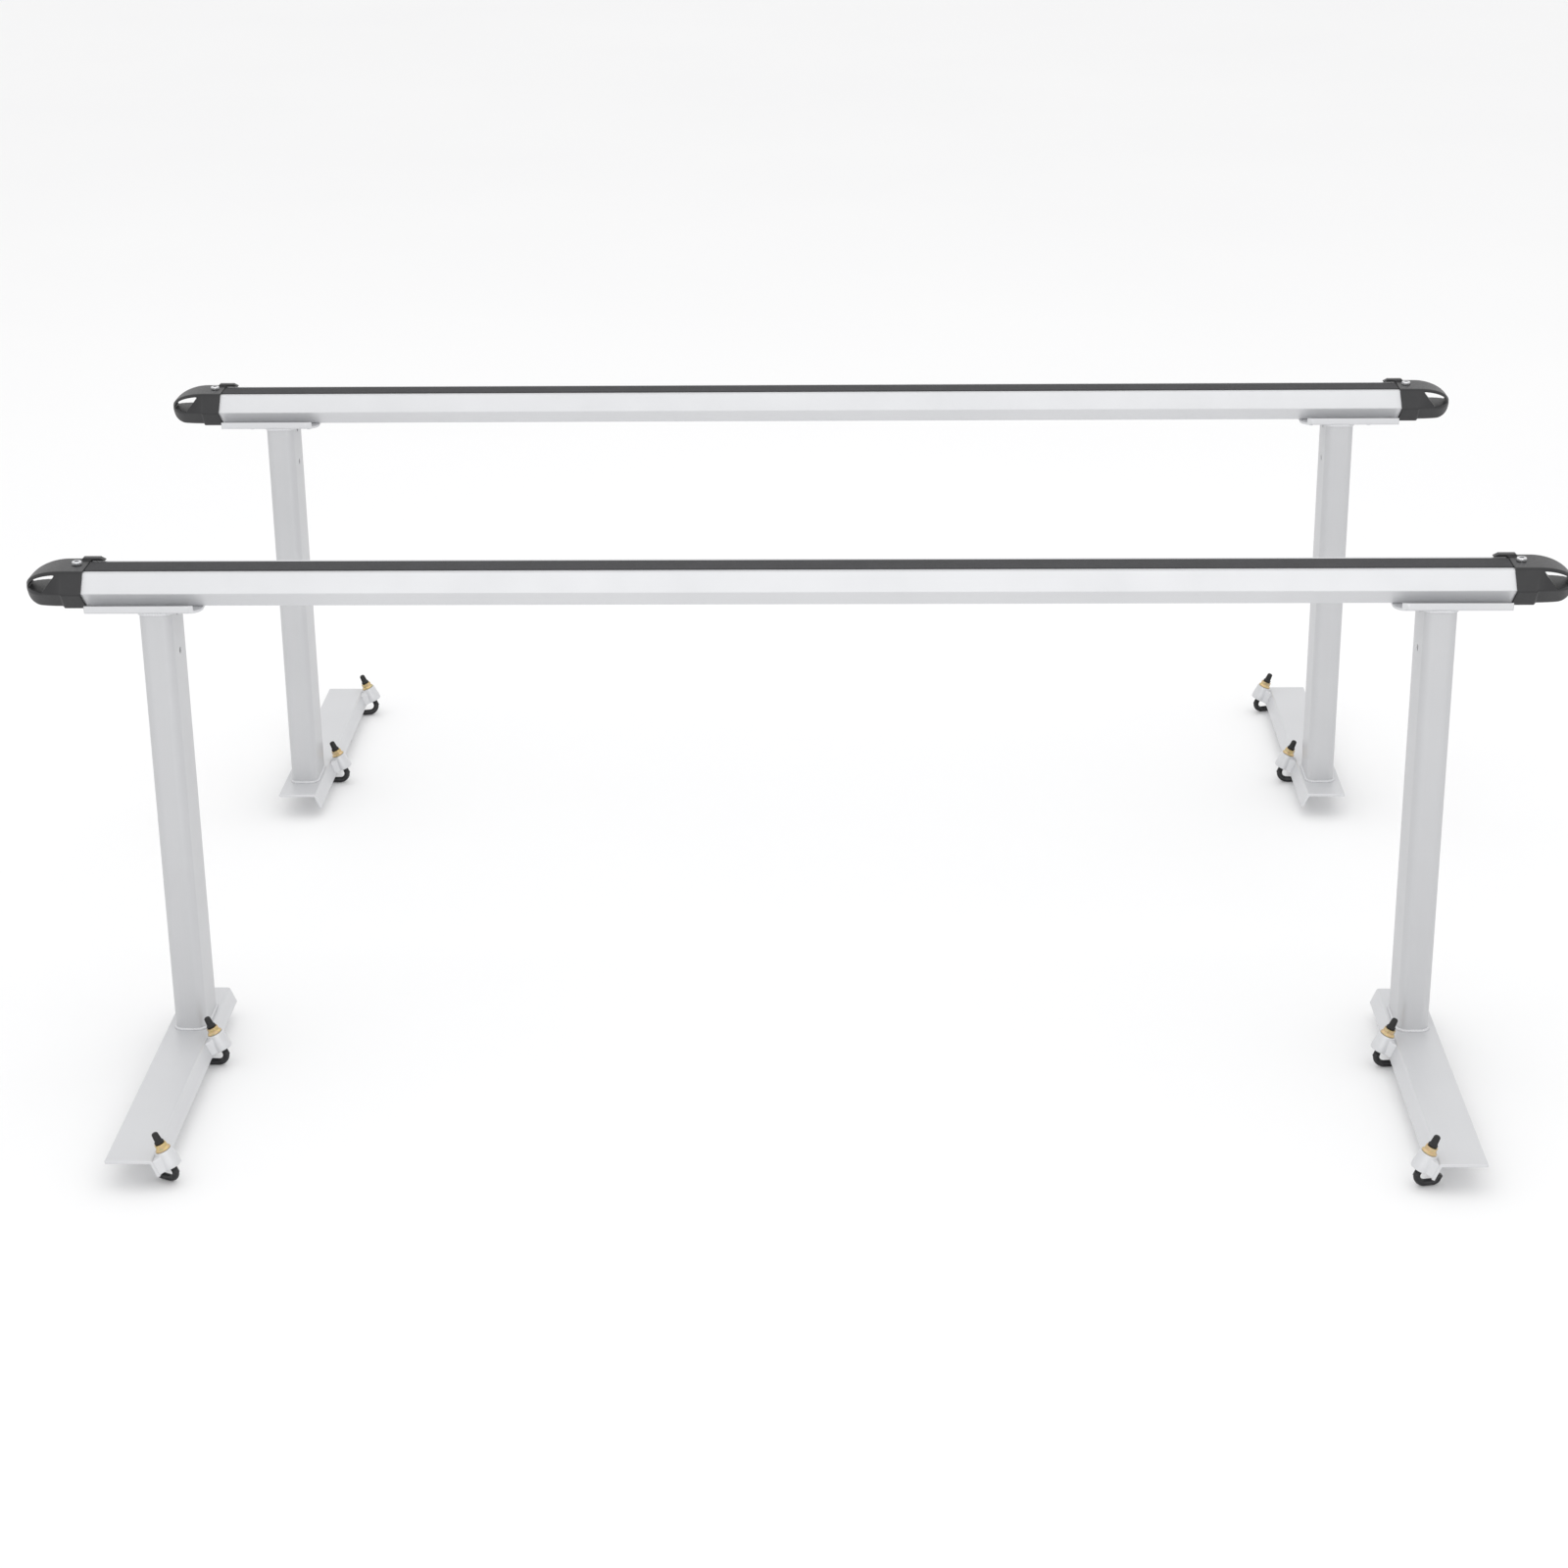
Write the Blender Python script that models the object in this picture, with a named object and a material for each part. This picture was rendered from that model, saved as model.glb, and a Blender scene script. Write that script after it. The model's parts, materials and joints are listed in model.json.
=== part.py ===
"""Truck bed ladder rack: two aluminium frames, each a crossbar on two uprights that clamp to the bed rails.

Metres, +Z up. +X runs along the crossbars and +Y from the front frame to the rear one. The origin is
midway between the frames, level with the lowest point of the clamp hooks.

An upright is symmetric front to back, so the left ones are the right ones turned half round about Z.
"Outward" is away from the middle of the rack, along X. "Outboard" is away from the other frame, along Y.
"""

import math

import bmesh
import bpy
from mathutils import Vector

# Layout
LENGTH_OVER_CAPS = 1.800
FRAME_SPACING = 0.830
POST_SPACING = 1.490
BAR_RISE = 0.539  # base plate's top face to the crossbar's underside
GAP = 0.0003  # between pieces that touch or are welded
FRAMES = {"front": -1, "rear": 1}
SIDES = {"left": -1, "right": 1}

# Crossbar extrusion, heights measured from its underside
BAR_HEIGHT = 0.042
BAR_HALF_BOTTOM = 0.018
BAR_HALF_ARRIS = 0.030
BAR_HALF_TOP = 0.025
ARRIS_HEIGHT = 0.018
BAR_WALL = 0.0028
SLOT_LIP = 0.003
SLOT_ROOM_HEIGHT = 0.0065
SLOT_LEDGE = 0.005  # how far the room reaches sideways past the slot's mouth
SLOT_CLEARANCE = 0.0015  # each side of a stud in the slot's mouth
GROOVE_DEPTH = 0.004
STRIP_WIDTH = 0.034
STRIP_PROUD = 0.0015
STRIP_DOVETAIL = 0.0012
STRIP_CHAMFER = 0.00075

# End cap
CAP_LENGTH = 0.073
SLEEVE_LENGTH = 0.026
SLEEVE_WALL = 0.0025
SLEEVE_STEP = 0.0015  # slope from the sleeve to the nose
CORNER_ROUND = 0.003
NOSE_MIDDLE = 0.020  # height of the nose's tip
NOSE_CHIN = 0.020  # length over which the nose's underside curves up
NOSE_RING_ANGLES = [math.radians(11 * step) for step in range(1, 8)]
STRAP = 0.004  # thickness of the tie-down loop
LOOP_FOOT = 0.018  # from the tip to the loop hole's lower inner corner
LOOP_ANGLES = [math.radians(10 + 9 * step) for step in range(8)]
WING_LENGTH = 0.017
WING_HEIGHT = 0.0030
WING_DEPTH = 0.0087
WING_ROOT = 0.012
WING_INSET = 0.0015  # from the sleeve's rear top edge
WING_CLEARANCE = 0.0016  # above the crossbar's top

# Cap screw, M6 socket head
SCREW_RADIUS = 0.0029
SCREW_HEAD_RADIUS = 0.006
SCREW_HEAD_HEIGHT = 0.004
SCREW_CROWN_RADIUS = 0.0045
SCREW_CROWN_DROP = 0.002
SCREW_LENGTH = 0.016
SCREW_SETBACK = 0.012  # from the cap's inner face
SOCKET_RADIUS = 0.0029
SOCKET_DEPTH = 0.0022
HOLE_CLEARANCE = 0.0004
SCREW_SIDES = 16
HOLE_SIDES = 12

# Bracket under the crossbar, lengths measured from the post's centre
BRACKET_OUTWARD = 0.0812
BRACKET_INWARD = 0.0548
BRACKET_HALF_WIDTH = 0.040
BRACKET_WALL = 0.003
LIP_HEIGHT = 0.0063  # above the crossbar's underside
BRACKET_CORNER = 0.018
STUD_RADIUS = 0.004
STUD_OUTWARD = 0.045
STUD_INWARD = 0.036
T_PLATE_THICKNESS = 0.004
T_PLATE_MARGIN = 0.010
T_PLATE_CLEARANCE = 0.0009
SLOT_NUT_HEIGHT = 0.0065
STUD_TAIL = 0.003

# Post, a rounded rectangular tube
POST_WIDTH = 0.038
POST_DEPTH = 0.076
POST_WALL = 0.0025
POST_CORNER = 0.011
POST_HOLE_RADIUS = 0.004
POST_HOLE_DROPS = (0.009, 0.057)

# Base angle
PLATE_MARGIN = 0.010  # plate edge to the post's outer face
PLATE_WIDTH = 0.054
BASE_WALL = 0.004
FLANGE_LENGTH = 0.021
FLANGE_LEAN = math.radians(23)
BASE_OUTBOARD = 0.375  # post's centre to the far end
BASE_INBOARD = 0.085

# Hook clamps, lengths along the bolt measured from the base angle's bend
LUG_RADIUS = 0.0117
LUG_FLARE = 0.0155
LUG_TOP = 0.0025
LUG_DEPTH = 0.0195
LUG_NECK = 0.0039  # where the boss begins to flare towards the flange
LUG_ARC_STEPS = 12
ROD_RADIUS = 0.004
ROD_SIDES = 10
LUG_BORE = ROD_RADIUS + 0.0005
HOOK_DROP = 0.0325  # base plate's top to the middle of the hook's leg
HOOK_REACH = 0.0282
HOOK_TOE = 0.010
HOOK_BEND = 0.010
TOE_BEND = 0.006
NUT_FLANGE_RADIUS = 0.009
NUT_FLANGE_HEIGHT = 0.002
NUT_HEIGHT = 0.008
NUT_HEX_RADIUS = 0.0075
NUT_FLANGE_SIDES = 20
THREAD_ABOVE_NUT = 0.009
COVER_HEIGHT = 0.014
COVER_RADIUS = ROD_RADIUS + 0.0007
COVER_SKIRT = ROD_RADIUS + 0.0016
COVER_SKIRT_HEIGHT = 0.0021
COVER_TAPER_HEIGHT = 0.0042
COVER_SHOULDER_HEIGHT = 0.0119
COVER_CROWN_RADIUS = 0.0033
COVER_CROWN_DROP = 0.0004
COVER_SIDES = 14
CLAMP_GAP_AT_POST = 0.022  # clamp's centre to the post's outboard face
CLAMPS = ("post", "end")
HOOK_TURNS = {
    ("front", "left", "post"): -4,
    ("front", "left", "end"): -26,
    ("front", "right", "post"): 5,
    ("front", "right", "end"): 12,
    ("rear", "left", "post"): 3,
    ("rear", "left", "end"): 20,
    ("rear", "right", "post"): -6,
    ("rear", "right", "end"): 18,
}

# Levels that follow from the sizes above
PLATE_TOP = ROD_RADIUS + HOOK_DROP
BAR_LEVEL = PLATE_TOP + BAR_RISE
BRACKET_UNDERSIDE = BAR_LEVEL - GAP - BRACKET_WALL
CAP_FACE = LENGTH_OVER_CAPS / 2 - CAP_LENGTH
BOLT_OFFSET = LUG_RADIUS + GAP
BEND_OUTWARD = POST_WIDTH / 2 + PLATE_MARGIN - PLATE_WIDTH


def clear_scene():
    for item in list(bpy.data.objects):
        bpy.data.objects.remove(item, do_unlink=True)


def material(name, colour, roughness, metallic):
    made = bpy.data.materials.new(name)
    made.use_nodes = True
    shader = made.node_tree.nodes["Principled BSDF"]
    shader.inputs["Base Color"].default_value = (*colour, 1)
    shader.inputs["Roughness"].default_value = roughness
    shader.inputs["Metallic"].default_value = metallic
    made.diffuse_color = (*colour, 1)
    return made


def empty(name, location, rotation=(0, 0, 0), parent=None):
    made = bpy.data.objects.new(name, None)
    bpy.context.collection.objects.link(made)
    made.empty_display_size = 0.05
    made.location = location
    made.rotation_euler = rotation
    made.parent = parent
    return made


def place(name, mesh, finish, location, rotation=(0, 0, 0), parent=None):
    """Puts a copy of a mesh in the scene as a named object with one material."""
    if not mesh.materials:
        mesh.materials.append(finish)
    made = bpy.data.objects.new(name, mesh)
    bpy.context.collection.objects.link(made)
    made.location = location
    made.rotation_euler = rotation
    made.parent = parent
    return made


def mesh_of(bm, name):
    bmesh.ops.recalc_face_normals(bm, faces=bm.faces[:])
    mesh = bpy.data.meshes.new(name)
    bm.to_mesh(mesh)
    bm.free()
    mesh.shade_smooth()
    mesh.set_sharp_from_angle(angle=math.radians(35))
    return mesh


def combined(base, tool, operation):
    """The union, difference or intersection of two solids, as a new bmesh."""
    objects = []
    for name, bm in (("base", base), ("tool", tool)):
        objects.append(bpy.data.objects.new(name, mesh_of(bm, name)))
        bpy.context.collection.objects.link(objects[-1])
    modifier = objects[0].modifiers.new("combine", "BOOLEAN")
    modifier.operation = operation
    modifier.object = objects[1]
    graph = bpy.context.evaluated_depsgraph_get()
    result = bmesh.new()
    result.from_mesh(objects[0].evaluated_get(graph).to_mesh())
    for item in objects:
        mesh = item.data
        bpy.data.objects.remove(item)
        bpy.data.meshes.remove(mesh)
    return result


def cut(base, *tools):
    for tool in tools:
        base = combined(base, tool, "DIFFERENCE")
    return base


def joined(base, *others):
    for other in others:
        base = combined(base, other, "UNION")
    return base


# Outlines are lists of (a, b) points. These say which way an outline faces and what it is extruded along.
def along_x(a, b, level):
    return Vector((level, a, b))


def along_y(a, b, level):
    return Vector((a, level, b))


def along_z(a, b, level):
    return Vector((a, b, level))


def prism(loops, low, high, lay):
    """A solid between two levels. The first loop is the outline and the rest are holes."""
    bm = bmesh.new()
    edges = []
    for loop in loops:
        ring = [bm.verts.new(lay(a, b, low)) for a, b in loop]
        edges += [bm.edges.new(pair) for pair in zip(ring, ring[1:] + ring[:1])]
    filled = bmesh.ops.triangle_fill(bm, use_beauty=True, edges=edges)["geom"]
    faces = [item for item in filled if isinstance(item, bmesh.types.BMFace)]
    raised = bmesh.ops.extrude_face_region(bm, geom=faces, use_keep_orig=True)["geom"]
    verts = [item for item in raised if isinstance(item, bmesh.types.BMVert)]
    bmesh.ops.translate(bm, vec=lay(0, 0, high) - lay(0, 0, low), verts=verts)
    bmesh.ops.recalc_face_normals(bm, faces=bm.faces[:])
    return bm


def circle(radius, count, centre=(0, 0), phase=0.0):
    angles = [math.tau * (step + phase) / count for step in range(count)]
    return [(centre[0] + radius * math.cos(angle), centre[1] + radius * math.sin(angle)) for angle in angles]


def fillet(before, corner, after, radius, steps):
    """Points of the arc that rounds one corner."""
    before, corner, after = Vector(before), Vector(corner), Vector(after)
    back = (before - corner).normalized()
    ahead = (after - corner).normalized()
    half = back.angle(ahead) / 2
    centre = corner + (back + ahead).normalized() * radius / math.sin(half)
    start = corner + back * radius / math.tan(half) - centre
    turn = math.copysign(math.pi - 2 * half, back.y * ahead.x - back.x * ahead.y)
    points = []
    for step in range(steps + 1):
        angle = turn * step / steps
        x = start.x * math.cos(angle) - start.y * math.sin(angle)
        y = start.x * math.sin(angle) + start.y * math.cos(angle)
        points.append((centre.x + x, centre.y + y))
    return points


def rounded(corners, radius, steps=3):
    """A closed outline with each corner rounded."""
    points = []
    for index, corner in enumerate(corners):
        before, after = corners[index - 1], corners[(index + 1) % len(corners)]
        points += fillet(before, corner, after, radius, steps)
    return points


def mirrored(right):
    """A closed outline from its right half, which runs from bottom to top."""
    return right + [(-a, b) for a, b in reversed(right)]


def grown(corners, distance):
    """A convex anticlockwise outline with each side moved out by a distance."""
    points = []
    for index, corner in enumerate(corners):
        corner = Vector(corner)
        back = (corner - Vector(corners[index - 1])).normalized()
        ahead = (Vector(corners[(index + 1) % len(corners)]) - corner).normalized()
        bisector = Vector((back.y + ahead.y, -back.x - ahead.x)).normalized()
        reach = distance / bisector.dot(Vector((back.y, -back.x)))
        points.append(tuple(corner + bisector * reach))
    return points


def box(length_x, length_y):
    return [(a * length_x / 2, b * length_y / 2) for a, b in ((1, -1), (1, 1), (-1, 1), (-1, -1))]


def turned(profile, count):
    """A solid of revolution about Z. The profile starts and ends on the axis."""
    bm = bmesh.new()
    rings = []
    for radius, height in profile:
        if radius == 0:
            rings.append([bm.verts.new((0, 0, height))])
        else:
            rings.append([bm.verts.new((x, y, height)) for x, y in circle(radius, count)])
    for lower, upper in zip(rings, rings[1:]):
        skin(bm, lower, upper)
    return bm


def skin(bm, lower, upper):
    """Faces between two rings, either of which may be a single point."""
    count = max(len(lower), len(upper))
    for index in range(count):
        following = (index + 1) % count
        corners = [lower[index % len(lower)], lower[following % len(lower)],
                   upper[following % len(upper)], upper[index % len(upper)]]
        bm.faces.new(list(dict.fromkeys(corners)))


def rod(path, radius, sides):
    """A round rod along a path of (x, z) points."""
    bm = bmesh.new()
    rings = []
    points = [Vector((x, 0, z)) for x, z in path]
    for index, point in enumerate(points):
        tangent = (points[min(index + 1, len(points) - 1)] - points[max(index - 1, 0)]).normalized()
        across = Vector((-tangent.z, 0, tangent.x))
        offsets = [across * a + Vector((0, b, 0)) for a, b in circle(radius, sides)]
        rings.append([bm.verts.new(point + offset) for offset in offsets])
    for lower, upper in zip(rings, rings[1:]):
        skin(bm, lower, upper)
    bm.faces.new(rings[0])
    bm.faces.new(rings[-1])
    return bm


# Crossbar and what is fixed to it
def bar_half_width(height):
    if height < ARRIS_HEIGHT:
        return BAR_HALF_BOTTOM + (BAR_HALF_ARRIS - BAR_HALF_BOTTOM) * height / ARRIS_HEIGHT
    share = (height - ARRIS_HEIGHT) / (BAR_HEIGHT - ARRIS_HEIGHT)
    return BAR_HALF_ARRIS + (BAR_HALF_TOP - BAR_HALF_ARRIS) * share


def bar_outline():
    """The crossbar's six corners, without its slot and groove."""
    return mirrored([(bar_half_width(height), height) for height in (0, ARRIS_HEIGHT, BAR_HEIGHT)])


def slot_half_mouth():
    return STUD_RADIUS + SLOT_CLEARANCE


def crossbar():
    """A hollow extrusion with a T-slot underneath and a dovetail groove along its top."""
    mouth = slot_half_mouth()
    room = mouth + SLOT_LEDGE
    room_top = SLOT_LIP + SLOT_ROOM_HEIGHT
    groove = STRIP_WIDTH / 2 + GAP
    right = [(room, room_top), (room, SLOT_LIP), (mouth, SLOT_LIP), (mouth, 0)]
    right += [(bar_half_width(height), height) for height in (0, ARRIS_HEIGHT, BAR_HEIGHT)]
    right += [(groove, BAR_HEIGHT), (groove + STRIP_DOVETAIL, BAR_HEIGHT - GROOVE_DEPTH)]
    levels = (room_top + BAR_WALL, ARRIS_HEIGHT, BAR_HEIGHT - GROOVE_DEPTH - BAR_WALL)
    hollow = mirrored([(bar_half_width(level) - BAR_WALL, level) for level in levels])
    half_length = CAP_FACE + SLEEVE_LENGTH - GAP
    solid = prism([mirrored(right), hollow], -half_length, half_length, along_x)
    for side in SIDES.values():
        centre = (side * (CAP_FACE + SCREW_SETBACK), 0)
        hole = circle(SCREW_RADIUS + HOLE_CLEARANCE, HOLE_SIDES, centre)
        floor = BAR_HEIGHT - GROOVE_DEPTH
        solid = cut(solid, prism([hole], floor - 2 * BAR_WALL, floor + BAR_WALL, along_z))
    return solid


def rubber_strip():
    half = STRIP_WIDTH / 2
    floor = BAR_HEIGHT - GROOVE_DEPTH + GAP
    crown = BAR_HEIGHT + STRIP_PROUD
    right = [(half + STRIP_DOVETAIL - GAP, floor), (half, BAR_HEIGHT), (half - STRIP_CHAMFER, crown)]
    return prism([mirrored(right)], GAP - CAP_FACE, CAP_FACE - GAP, along_x)


def nose_ring(outline, from_tip):
    """The sleeve's outline, narrowed to the nose's section at a distance from its tip."""
    nose = CAP_LENGTH - SLEEVE_LENGTH
    size = math.sqrt(1 - (1 - min(from_tip / nose, 1)) ** 2)
    chin = math.sqrt(1 - (1 - min(from_tip / NOSE_CHIN, 1)) ** 2)
    bottom = min(height for _, height in outline)
    top = max(height for _, height in outline)
    low = NOSE_MIDDLE * (1 - chin)
    high = NOSE_MIDDLE + (top - NOSE_MIDDLE) * size
    return [(a * size, low + (b - bottom) * (high - low) / (top - bottom)) for a, b in outline]


def cap_blank(outline):
    """The cap before it is cut: the sleeve, a small step under its end, and the nose."""
    nose = CAP_LENGTH - SLEEVE_LENGTH
    distances = [nose - SLEEVE_STEP] + [nose * (1 - math.sin(angle)) for angle in NOSE_RING_ANGLES]
    sections = [(0, outline), (SLEEVE_LENGTH, outline)]
    sections += [(CAP_LENGTH - from_tip, nose_ring(outline, from_tip)) for from_tip in distances]
    bm = bmesh.new()
    rings = [[bm.verts.new((x, y, z)) for y, z in points] for x, points in sections]
    rings.append([bm.verts.new((CAP_LENGTH, 0, NOSE_MIDDLE))])
    for lower, upper in zip(rings, rings[1:]):
        skin(bm, lower, upper)
    bm.faces.new(rings[0])
    return bm


def loop_hole():
    """The tie-down loop's opening, seen from the front: (distance from the cap's inner face, height)."""
    nose = CAP_LENGTH - SLEEVE_LENGTH
    rise = BAR_HEIGHT + SLEEVE_WALL - NOSE_MIDDLE
    points = [(CAP_LENGTH - LOOP_FOOT, NOSE_MIDDLE + STRAP / 2)]
    for angle in LOOP_ANGLES:
        across = nose - (nose - STRAP) * math.cos(angle)
        points.append((CAP_LENGTH - across, NOSE_MIDDLE + (rise - STRAP) * math.sin(angle)))
    return points


def wing():
    """A low rib along the sleeve's rear top edge that runs on as a beak over the crossbar."""
    top = BAR_HEIGHT + SLEEVE_WALL + WING_HEIGHT
    low = BAR_HEIGHT + WING_CLEARANCE
    tip = -WING_LENGTH
    return [
        (WING_ROOT, low),
        (WING_ROOT - WING_HEIGHT, top),
        (tip + WING_HEIGHT, top),
        (tip, low + WING_HEIGHT / 2),
        (tip, low),
    ]


def end_cap(side):
    """A plastic sleeve and nose. X runs outward from the cap's inner face on the right-hand cap."""
    blank = cap_blank(rounded(grown(bar_outline(), GAP + SLEEVE_WALL), CORNER_ROUND))
    rear = BAR_HALF_TOP + SLEEVE_WALL - WING_INSET
    hole = circle(SCREW_RADIUS + HOLE_CLEARANCE, HOLE_SIDES, (SCREW_SETBACK, 0))
    solid = cut(
        joined(blank, prism([wing()], rear - WING_DEPTH, rear, along_y)),
        prism([grown(bar_outline(), GAP)], -SLEEVE_WALL, SLEEVE_LENGTH, along_x),
        prism([loop_hole()], -2 * BAR_HALF_ARRIS, 2 * BAR_HALF_ARRIS, along_y),
        prism([hole], BAR_HEIGHT - BAR_WALL, BAR_HEIGHT + 2 * SLEEVE_WALL, along_z),
    )
    bmesh.ops.scale(solid, vec=(side, 1, 1), verts=solid.verts[:])
    return solid


def cap_screw():
    """A socket head screw. Z runs up from the underside of its head."""
    crown = SCREW_HEAD_HEIGHT
    profile = [
        (0, -SCREW_LENGTH),
        (SCREW_RADIUS, -SCREW_LENGTH),
        (SCREW_RADIUS, 0),
        (SCREW_HEAD_RADIUS, 0),
        (SCREW_HEAD_RADIUS, crown - SCREW_CROWN_DROP),
        (SCREW_CROWN_RADIUS, crown),
        (0, crown),
    ]
    socket = prism([circle(SOCKET_RADIUS, 6)], crown - SOCKET_DEPTH, 2 * crown, along_z)
    return cut(turned(profile, SCREW_SIDES), socket)


# Upright: bracket, post and base angle. X runs outward from the post's centre.
def stud_places():
    return [(STUD_OUTWARD, 0), (-STUD_INWARD, 0)]


def bracket():
    """A channel under the crossbar, with its inner corners rounded off. Z is the crossbar's underside."""
    top = -GAP
    outer = BRACKET_HALF_WIDTH
    inner = outer - BRACKET_WALL
    right = [(outer, top - BRACKET_WALL), (outer, LIP_HEIGHT), (inner, LIP_HEIGHT), (inner, top)]
    channel = prism([mirrored(right)], -BRACKET_INWARD, BRACKET_OUTWARD, along_x)
    corner = [(-BRACKET_INWARD, -outer), (BRACKET_OUTWARD, -outer), (BRACKET_OUTWARD, outer)]
    plan = [
        *corner[1:],
        *fillet(corner[2], (-BRACKET_INWARD, outer), corner[0], BRACKET_CORNER, 6),
        *fillet((-BRACKET_INWARD, outer), corner[0], corner[1], BRACKET_CORNER, 6),
    ]
    holes = [circle(STUD_RADIUS + HOLE_CLEARANCE, HOLE_SIDES, spot) for spot in stud_places()]
    return combined(channel, prism([plan, *holes], -outer, outer, along_z), "INTERSECT")


def slot_bolts():
    """A T-slot plate with two studs and their nuts, which clamps the bracket. Z is the crossbar's underside."""
    length = STUD_OUTWARD + STUD_INWARD + 2 * T_PLATE_MARGIN
    middle = (STUD_OUTWARD - STUD_INWARD) / 2
    width = 2 * (slot_half_mouth() + SLOT_LEDGE - T_PLATE_CLEARANCE)
    low = SLOT_LIP + GAP
    plate = [(x + middle, y) for x, y in box(length, width)]
    nut_top = -BRACKET_WALL - 2 * GAP
    nut_base = nut_top - SLOT_NUT_HEIGHT
    solid = prism([plate], low, low + T_PLATE_THICKNESS, along_z)
    for spot in stud_places():
        outline = circle(STUD_RADIUS, HOLE_SIDES, spot)
        stud = prism([outline], nut_base - STUD_TAIL, low + T_PLATE_THICKNESS / 2, along_z)
        nut = prism([circle(NUT_HEX_RADIUS, 6, spot)], nut_base, nut_top, along_z)
        solid = joined(solid, stud, nut)
    return solid


def post():
    """A rounded rectangular tube with two accessory holes on its inner side. Z runs up from its foot."""
    length = BRACKET_UNDERSIDE - PLATE_TOP - 2 * GAP
    outer = rounded(box(POST_WIDTH, POST_DEPTH), POST_CORNER, 5)
    inner = rounded(box(POST_WIDTH - 2 * POST_WALL, POST_DEPTH - 2 * POST_WALL), POST_CORNER - POST_WALL, 5)
    solid = prism([outer, inner], 0, length, along_z)
    for drop in POST_HOLE_DROPS:
        hole = circle(POST_HOLE_RADIUS, HOLE_SIDES, (0, length - drop))
        solid = cut(solid, prism([hole], -POST_WIDTH, -POST_WIDTH / 4, along_x))
    return solid


def base_angle():
    """A plate with a flange that leans down and inward from its inner edge. Z is the plate's top face."""
    lean, upright = math.sin(FLANGE_LEAN), math.cos(FLANGE_LEAN)
    outer = BEND_OUTWARD + PLATE_WIDTH
    foot = (BEND_OUTWARD - FLANGE_LENGTH * lean, -FLANGE_LENGTH * upright)
    heel = (foot[0] + BASE_WALL * upright, foot[1] - BASE_WALL * lean)
    rise = -BASE_WALL - heel[1]
    bend = (heel[0] + rise * lean / upright, -BASE_WALL)
    outline = [(BEND_OUTWARD, 0), foot, heel, bend, (outer, -BASE_WALL), (outer, 0)]
    half = (BASE_OUTBOARD + BASE_INBOARD) / 2
    return prism([outline], -half, half, along_y)


# Hook clamp. Z runs up along the bolt from the level of the base angle's bend, and X runs outward.
def lug():
    """A boss on the flange that the bolt passes through."""
    angles = [math.pi * step / LUG_ARC_STEPS for step in range(LUG_ARC_STEPS + 1)]
    outline = [(-math.sin(angle) * LUG_RADIUS, math.cos(angle) * LUG_RADIUS) for angle in angles]
    face = BOLT_OFFSET - GAP
    outline += [(LUG_NECK, -LUG_RADIUS), (face, -LUG_FLARE)]
    outline += [(face, LUG_FLARE), (LUG_NECK, LUG_RADIUS)]
    return prism([outline, circle(LUG_BORE, HOLE_SIDES)], -LUG_DEPTH, LUG_TOP, along_z)


def flange_nut():
    """A hexagon nut with a flange under it. Z runs up from the flange."""
    bore = circle(ROD_RADIUS + GAP, HOLE_SIDES)
    flange = prism([circle(NUT_FLANGE_RADIUS, NUT_FLANGE_SIDES), bore], 0, NUT_FLANGE_HEIGHT, along_z)
    return joined(flange, prism([circle(NUT_HEX_RADIUS, 6), bore], 0, NUT_HEIGHT, along_z))


def thread_cover():
    """A soft cap over the bolt's free end. Z runs up from its skirt."""
    bore = ROD_RADIUS + GAP
    depth = THREAD_ABOVE_NUT
    profile = [
        (0, depth),
        (bore, depth),
        (bore, 0),
        (COVER_SKIRT, 0),
        (COVER_SKIRT, COVER_SKIRT_HEIGHT),
        (COVER_RADIUS, COVER_TAPER_HEIGHT),
        (COVER_RADIUS, COVER_SHOULDER_HEIGHT),
        (COVER_CROWN_RADIUS, COVER_HEIGHT - COVER_CROWN_DROP),
        (0, COVER_HEIGHT),
    ]
    return turned(profile, COVER_SIDES)


def cover_level():
    return LUG_TOP + NUT_HEIGHT + 2 * GAP


def j_bolt():
    """A round rod: straight shank, level leg under the flange, and an upturned toe."""
    lean, upright = math.sin(FLANGE_LEAN), math.cos(FLANGE_LEAN)
    corner = -(HOOK_DROP + BOLT_OFFSET * lean) / upright
    top = cover_level() + THREAD_ABOVE_NUT - GAP
    far = (HOOK_REACH * upright, corner + HOOK_REACH * lean)
    toe = (far[0], far[1] + HOOK_TOE)
    path = [(0, top)]
    path += fillet((0, top), (0, corner), far, HOOK_BEND, 6)
    path += fillet((0, corner), far, toe, TOE_BEND, 4)
    path.append(toe)
    return rod(path, ROD_RADIUS, ROD_SIDES)


def build_frame(frame, finishes, meshes):
    """One crossbar with its rubber strip and end caps."""
    hub = empty(f"{frame}_frame", (0, FRAMES[frame] * FRAME_SPACING / 2, BAR_LEVEL))
    place(f"crossbar_{frame}", meshes["crossbar"], finishes["aluminium"], (0, 0, 0), parent=hub)
    place(f"rubber_strip_{frame}", meshes["rubber_strip"], finishes["rubber"], (0, 0, 0), parent=hub)
    head_level = BAR_HEIGHT + SLEEVE_WALL + 2 * GAP
    for side, sign in SIDES.items():
        tag = f"{frame}_{side}"
        spot = (sign * CAP_FACE, 0, 0)
        place(f"end_cap_{tag}", meshes[f"end_cap_{side}"], finishes["plastic"], spot, parent=hub)
        spot = (sign * (CAP_FACE + SCREW_SETBACK), 0, head_level)
        place(f"cap_screw_{tag}", meshes["cap_screw"], finishes["steel"], spot, parent=hub)


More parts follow.
